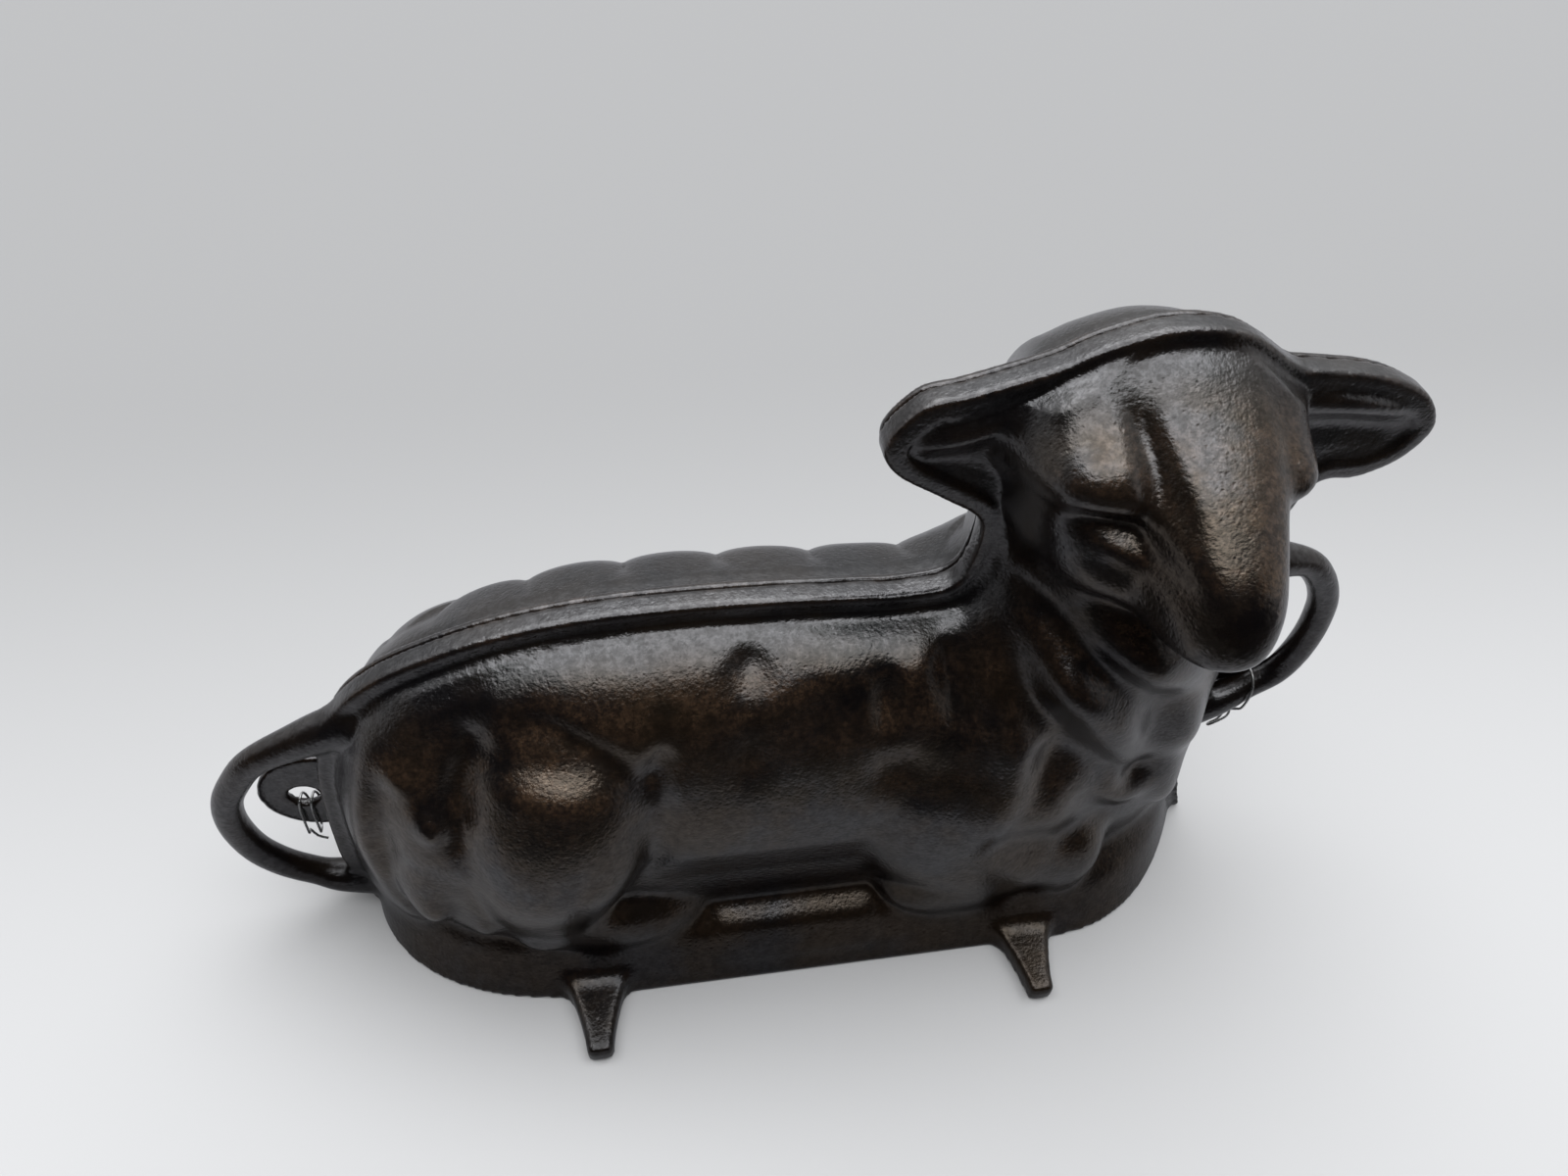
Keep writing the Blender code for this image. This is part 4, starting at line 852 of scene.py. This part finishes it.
def left_tie_route():
    """Turns through the left lug's hole and round its lower edge, then the two tails."""
    lug_x, lug_z, lug_radius = LEFT_LUG
    hole_x, hole_z, hole_radius = LEFT_HOLE
    low = lug_z - lug_radius - LEFT_TURN_DROP
    high = hole_z - hole_radius * 0.4
    middle_y = SEAM_GAP + BACK_RIM / 2
    half_y = BACK_RIM / 2 + 2 * WIRE_RADIUS + WIRE_CLEARANCE
    start = hole_x - LEFT_TURNS * LEFT_TURN_PITCH / 2
    route = [
        (start + 4.5, middle_y - 1.2, low - 4.2),
        (start + 2.0, middle_y - 1.2, low - 2.2),
    ]
    for number in range(LEFT_TURNS * TURN_POINTS + 1):
        turn = number / TURN_POINTS
        angle = 2 * math.pi * turn
        sweep_y = -math.copysign(abs(math.sin(angle)) ** 0.5, math.sin(angle))
        sweep_z = -math.copysign(abs(math.cos(angle)) ** 0.6, math.cos(angle))
        y = middle_y + half_y * sweep_y
        z = (high + low) / 2 + (high - low) / 2 * sweep_z
        route.append((start + turn * LEFT_TURN_PITCH, y, z))
    end = start + LEFT_TURNS * LEFT_TURN_PITCH
    route += [
        (end + 0.2, middle_y + 0.8, low - 1.6),
        (end - 1.2, middle_y + 1.2, low - 4.0),
    ]
    return smooth_line(route, parts=3)


def right_tie_route():
    """Round the right handle's lower bar and through the right lug's hole, with a looped tail."""
    hole_x, hole_z, hole_radius = RIGHT_HOLE
    x = hole_x - 1.0
    front = -BAR_DEPTH - BAR_RADIUS - WIRE_RADIUS - WIRE_CLEARANCE
    behind = SEAM_GAP + BACK_RIM + WIRE_RADIUS + WIRE_CLEARANCE
    through = hole_z - hole_radius * 0.6
    under = RIGHT_LUG[1] - RIGHT_LUG[2] - 5.0
    knot = under - 2.8
    ring = [
        (x - 0.6, -5.2, knot + 0.4),
        (x - 0.4, front + 1.6, under + 0.6),
        (x, front, under + 3.4),
        (x + 0.4, front, through - 5.5),
        (x + 0.6, front + 3.0, through - 1.0),
        (x + 0.8, 0.0, through),
        (x + 0.8, behind - 0.8, through - 0.6),
        (x + 0.6, behind, through - 3.0),
        (x + 0.4, behind, under + 3.0),
        (x, behind - 2.4, under - 0.2),
        (x + 0.2, -2.0, knot + 0.6),
    ]
    tail = [
        (x + 0.4, -4.4, knot - 0.8),
        (x - 1.0, -6.0, knot - 2.4),
        (x - 4.4, -6.4, knot - 4.6),
        (x - 6.0, -6.0, knot - 6.2),
        (x - 5.0, -4.8, knot - 7.0),
        (x - 2.2, -4.4, knot - 5.6),
        (x - 0.4, -3.4, knot - 3.8),
    ]
    return smooth_line(ring + tail, parts=7)


def wire(name, route):
    """A round wire along the route with its cut ends closed, its frame carried along without twist."""
    ahead = np.gradient(route, axis=0)
    ahead /= np.linalg.norm(ahead, axis=1)[:, None]
    askew = (0.3, 0.9, 0.2)
    side = np.cross(ahead[0], askew)
    angles = np.arange(WIRE_SIDES) * 2 * math.pi / WIRE_SIDES
    cosines, sines = np.cos(angles)[:, None], np.sin(angles)[:, None]
    rings = []
    for place, way in zip(route, ahead):
        side = side - way * np.dot(side, way)
        side = side / np.linalg.norm(side)
        rings.append(place + WIRE_RADIUS * (cosines * side + sines * np.cross(way, side)))
    verts = np.vstack([*rings, route[:1], route[-1:]])
    faces = []
    for ring in range(len(route) - 1):
        for k in range(WIRE_SIDES):
            one, two = ring * WIRE_SIDES + k, ring * WIRE_SIDES + (k + 1) % WIRE_SIDES
            faces.append((one, two, two + WIRE_SIDES, one + WIRE_SIDES))
    last = (len(route) - 1) * WIRE_SIDES
    for k in range(WIRE_SIDES):
        faces.append(((k + 1) % WIRE_SIDES, k, len(verts) - 2))
        faces.append((last + k, last + (k + 1) % WIRE_SIDES, len(verts) - 1))
    mesh = bpy.data.meshes.new(name)
    mesh.from_pydata([to_world(*vert) for vert in verts], [], faces)
    mesh.shade_smooth()
    return add_object(name, mesh)


class Nodes:
    """Short calls for making and joining the nodes of one material or world."""

    def __init__(self, tree):
        self.tree = tree

    def add(self, kind, inputs=(), **settings):
        node = self.tree.nodes.new(kind)
        for key, value in settings.items():
            setattr(node, key, value)
        for key, value in dict(inputs).items():
            self.put(node.inputs[key], value)
        return node

    def put(self, socket, value):
        if isinstance(value, bpy.types.NodeSocket):
            self.tree.links.new(value, socket)
        else:
            socket.default_value = value

    def math(self, operation, first, second=0.0, clamp=False):
        node = self.add("ShaderNodeMath", {0: first, 1: second}, operation=operation, use_clamp=clamp)
        return node.outputs[0]

    def times(self, first, *others):
        for other in others:
            first = self.math("MULTIPLY", first, other)
        return first

    def plus(self, first, second):
        return self.math("ADD", first, second)

    def less(self, first, second):
        return self.math("SUBTRACT", first, second)

    def split(self, vector):
        return self.add("ShaderNodeSeparateXYZ", {0: vector}).outputs

    def between(self, value, low, high):
        """Nought up to low, one from high on, smooth in the middle."""
        node = self.add(
            "ShaderNodeMapRange", {"Value": value, "From Min": low, "From Max": high},
            interpolation_type="SMOOTHSTEP",
        )
        return node.outputs["Result"]

    def range(self, value, low, high):
        """Low where the value is nought, high where it is one."""
        node = self.add("ShaderNodeMapRange", {"Value": value, "To Min": low, "To Max": high})
        return node.outputs["Result"]

    def mix(self, share, first, second):
        node = self.add("ShaderNodeMix", data_type="RGBA")
        for socket, value in zip([n for n in node.inputs if n.enabled], (share, first, second)):
            self.put(socket, value)
        return next(n for n in node.outputs if n.enabled)

    def noise(self, place, scale, detail, roughness=0.55):
        node = self.add(
            "ShaderNodeTexNoise",
            {"Vector": place, "Scale": scale, "Detail": detail, "Roughness": roughness},
        )
        return node.outputs["Fac"]

    def bump(self, shader, height, strength, distance):
        node = self.add("ShaderNodeBump", {"Height": height, "Strength": strength, "Distance": distance})
        self.put(shader.inputs["Normal"], node.outputs["Normal"])


def new_material(name):
    """A material, the helper for its nodes, and its shader."""
    material = bpy.data.materials.new(name)
    material.use_nodes = True
    return material, Nodes(material.node_tree), material.node_tree.nodes["Principled BSDF"]


def away_from_nose(nodes, object_place, place):
    """Nought in the stain at the tip of the nose, with a ragged edge, and one elsewhere."""
    ends = {0: object_place, 1: to_world(*NOSE_STAIN)}
    away = nodes.add("ShaderNodeVectorMath", ends, operation="DISTANCE").outputs["Value"]
    ragged = nodes.times(nodes.less(nodes.noise(place, RAGGED_SCALE, 5, 0.7), 0.5), 0.022)
    size = STAIN_SIZE / 1000
    return nodes.between(nodes.plus(away, ragged), size - 0.003, size)


def iron(name, shift):
    """Seasoned cast iron: near-black skin, brown where it has worn thin and, as painted top light, on its
    upward faces, with painted shade near the base, pitted by the sand.
    """
    material, nodes, shader = new_material(name)
    object_place = nodes.add("ShaderNodeTexCoord").outputs["Object"]
    shifted = {"Vector": object_place, "Location": (shift, shift, shift)}
    place = nodes.add("ShaderNodeMapping", shifted).outputs[0]
    geometry = nodes.add("ShaderNodeNewGeometry").outputs
    along = nodes.split(object_place)

    # Masks
    raised = nodes.between(nodes.times(along["Y"], -1.0), 0.0, BROWN_BY)
    patina = nodes.times(raised, nodes.between(nodes.noise(place, PATINA_SCALE, 5, 0.6), 0.38, 0.58))
    cloud = nodes.noise(place, CLOUD_SCALE, 5)
    speckle = nodes.noise(place, SPECKLE_SCALE, 5, 0.74)
    fleck = nodes.between(speckle, 0.40, 0.60)
    mottle = nodes.between(nodes.noise(place, MOTTLE_SCALE, 6, 0.72), 0.42, 0.58)
    # Upward faces: the brown painted on them is partly painted top light
    up = nodes.between(nodes.split(geometry["Normal"])["Z"], 0.15, 0.85)
    edge = nodes.between(geometry["Pointiness"], 0.50, 0.56)
    patchy = nodes.between(nodes.noise(place, PATCH_SCALE, 6, 0.65), 0.36, 0.60)
    # Painted shade near the base: nought low down, one higher up
    above_base_shade = nodes.between(along["Z"], BASE_SHADE_FULL_TO, BASE_SHADE_GONE_BY)
    band = nodes.less(nodes.between(along["Z"], *BAND_FROM), nodes.between(along["Z"], *BAND_TO))
    clean = away_from_nose(nodes, object_place, place)

    # Colour: brown along worn edges and on upward faces, where the brown is partly wear and partly painted
    # top light; less brown low down, which is painted shade; none at the nose's stain
    worn = nodes.math("MAXIMUM", nodes.times(up, raised), nodes.times(edge, 0.6))
    worn = nodes.times(worn, patchy, nodes.range(fleck, 0.35, 1.05))
    worn = nodes.math("MULTIPLY", worn, nodes.range(mottle, 0.45, 1.20), clamp=True)
    # Painted shade: less of the brown near the base
    worn = nodes.times(worn, nodes.range(above_base_shade, 0.25, 1.0), clean)
    skin = nodes.mix(nodes.between(cloud, 0.35, 0.65), IRON_BLACK, IRON_BROWN)
    nodes.put(shader.inputs["Base Color"], nodes.mix(worn, skin, IRON_WORN_AND_LIT))

    # Sheen: duller in the upper flank's band, low down as painted shade, and in the nose's stain
    rough = nodes.plus(nodes.range(cloud, 0.15, 0.25), nodes.range(speckle, -0.04, 0.06))
    nodes.put(shader.inputs["Roughness"], rough)
    shader.inputs["Metallic"].default_value = 0.0
    shader.inputs["IOR"].default_value = IRON_IOR
    gleam = nodes.times(
        nodes.range(fleck, 0.44, 0.58), nodes.range(clean, 0.25, 1.0), nodes.range(above_base_shade, 0.5, 1.0),
        nodes.range(nodes.times(raised, band), 1.0, 0.62), nodes.range(mottle, 0.84, 1.16),
    )
    nodes.put(shader.inputs["Specular IOR Level"], gleam)
    nodes.put(shader.inputs["Specular Tint"], nodes.mix(patina, BLACK_SHEEN, BROWN_SHEEN))

    # Grain of the sand, with small pits
    pits = nodes.add("ShaderNodeTexVoronoi", {"Vector": place, "Scale": PIT_SCALE}, feature="F1")
    pit = nodes.between(pits.outputs["Distance"], 0.0, 0.35)
    height = nodes.plus(nodes.times(pit, 0.35), nodes.noise(place, SAND_SCALE, 3, 0.6))
    nodes.bump(shader, height, 0.30, 0.0005)
    return material


def steel():
    """Zinc-coated steel wire, dulled in patches, with fine drawing lines."""
    material, nodes, shader = new_material("tie_wire")
    place = nodes.add("ShaderNodeTexCoord").outputs["Object"]
    dulled = nodes.between(nodes.noise(place, DULL_SCALE, 4, 0.6), 0.42, 0.62)
    worn = nodes.between(nodes.add("ShaderNodeNewGeometry").outputs["Pointiness"], 0.52, 0.60)
    colour = nodes.mix(dulled, ZINC, ZINC_DULL)
    nodes.put(shader.inputs["Base Color"], nodes.mix(worn, colour, ZINC_BRIGHT))
    nodes.put(shader.inputs["Roughness"], nodes.range(dulled, 0.26, 0.48))
    shader.inputs["Metallic"].default_value = 0.9
    nodes.bump(shader, nodes.noise(place, DRAWN_SCALE, 3, 0.6), 0.25, 0.00004)
    return material


def camera():
    data = bpy.data.cameras.new("camera")
    data.sensor_width = SENSOR_WIDTH
    data.lens = CAMERA_FOCAL_PIXELS / PHOTO_WIDTH * SENSOR_WIDTH
    data.clip_start = CLIP_START
    thing = add_object("camera", data)
    turn = (
        Matrix.Rotation(math.radians(CAMERA_YAW), 4, "Z")
        @ Matrix.Rotation(math.radians(CAMERA_TILT), 4, "X")
        @ Matrix.Rotation(math.radians(CAMERA_ROLL), 4, "Z")
    )
    thing.matrix_world = Matrix.Translation(to_world(*CAMERA_PLACE)) @ turn
    bpy.context.scene.camera = thing


def floor():
    """A white sheet that ends at the tent's open side, which only reflections show, with painted shade
    darkening it toward the back and a painted dimmer reflection of it in the iron.
    """
    bpy.ops.mesh.primitive_plane_add(size=SHEET_SIZE, location=(0, 0, -SHEET_DROP))
    thing = bpy.context.object
    thing.name = "floor"
    material, nodes, shader = new_material("floor")
    shader.inputs["Roughness"].default_value = 0.75
    shader.inputs["Specular IOR Level"].default_value = 0.2
    place = nodes.add("ShaderNodeNewGeometry").outputs["Position"]
    along_y = nodes.split(place)["Y"]
    glossy = nodes.add("ShaderNodeLightPath").outputs["Is Glossy Ray"]
    # Painted shade: the sheet grows darker toward the back
    seen = nodes.mix(nodes.between(along_y, -0.10, 0.30), SHEET_NEAR, SHEET_FAR)
    # Painted reflection: the sheet shows dimmer in the iron; past its front edge reflections see the dark
    # open side
    beyond = nodes.between(nodes.times(along_y, -1.0), 0.15, 0.25)
    mirrored = nodes.mix(beyond, SHEET_MIRRORED, BEYOND_SHEET)
    nodes.put(shader.inputs["Base Color"], nodes.mix(glossy, seen, mirrored))
    thing.data.materials.append(material)


def light_tent():
    """White walls behind and at the sides, a dark opening at the camera's side and a lit top."""
    world = bpy.data.worlds.new("light_tent")
    world.use_nodes = True
    nodes = Nodes(world.node_tree)
    way = nodes.split(nodes.add("ShaderNodeTexCoord").outputs["Generated"])
    squares = nodes.plus(nodes.math("POWER", way["X"], 2.0), nodes.math("POWER", way["Y"], 2.0))
    level = nodes.plus(nodes.math("SQRT", squares), 0.001)
    toward = nodes.plus(nodes.times(way["Y"], OPEN_Y), nodes.times(way["X"], OPEN_X))
    front = nodes.between(nodes.math("DIVIDE", toward, level), 0.15, 0.45)
    opening = nodes.times(front, nodes.less(1.0, nodes.between(way["Z"], 0.80, 0.88)))
    lamp = nodes.times(nodes.between(way["Z"], 0.72, 0.86), LAMP)
    lamp = nodes.less(lamp, nodes.between(way["Z"], 0.89, 0.99))
    behind = nodes.times(nodes.between(way["Y"], 0.0, 0.5), nodes.between(way["Z"], 0.2, 0.7))
    wall = nodes.plus(lamp, nodes.range(behind, WALL_FRONT, WALL_BEHIND))
    strength = nodes.times(wall, nodes.less(1.0, nodes.times(opening, OPEN_DARKNESS)))
    tent = nodes.add("ShaderNodeBackground", {"Color": TENT_COLOUR, "Strength": strength})
    plain = nodes.add("ShaderNodeBackground", {"Color": BACKDROP, "Strength": 1.0})
    seen = nodes.add("ShaderNodeLightPath").outputs["Is Camera Ray"]
    both = nodes.add("ShaderNodeMixShader", {0: seen, 1: tent.outputs[0], 2: plain.outputs[0]})
    nodes.put(world.node_tree.nodes["World Output"].inputs["Surface"], both.outputs[0])
    bpy.context.scene.world = world


def studio():
    floor()
    light_tent()
    bpy.context.scene.view_settings.view_transform = "Standard"


def dress(thing, material, node, body):
    """Puts one detailed piece in the place of its node."""
    thing.data.materials.append(material)
    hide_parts(node)
    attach(thing, body)


def main():
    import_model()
    camera()
    line = smooth_line(rim_anchors())
    dress(front_half(line), iron("seasoned_iron_front", 0.0), "front_half", "face")
    dress(back_half(line), iron("seasoned_iron_back", 0.31), "back_half", "tail")
    zinc = steel()
    dress(wire("left_tie", left_tie_route()), zinc, "wire_tie_left", "tail")
    dress(wire("right_tie", right_tie_route()), zinc, "wire_tie_right", "face")
    studio()


main()
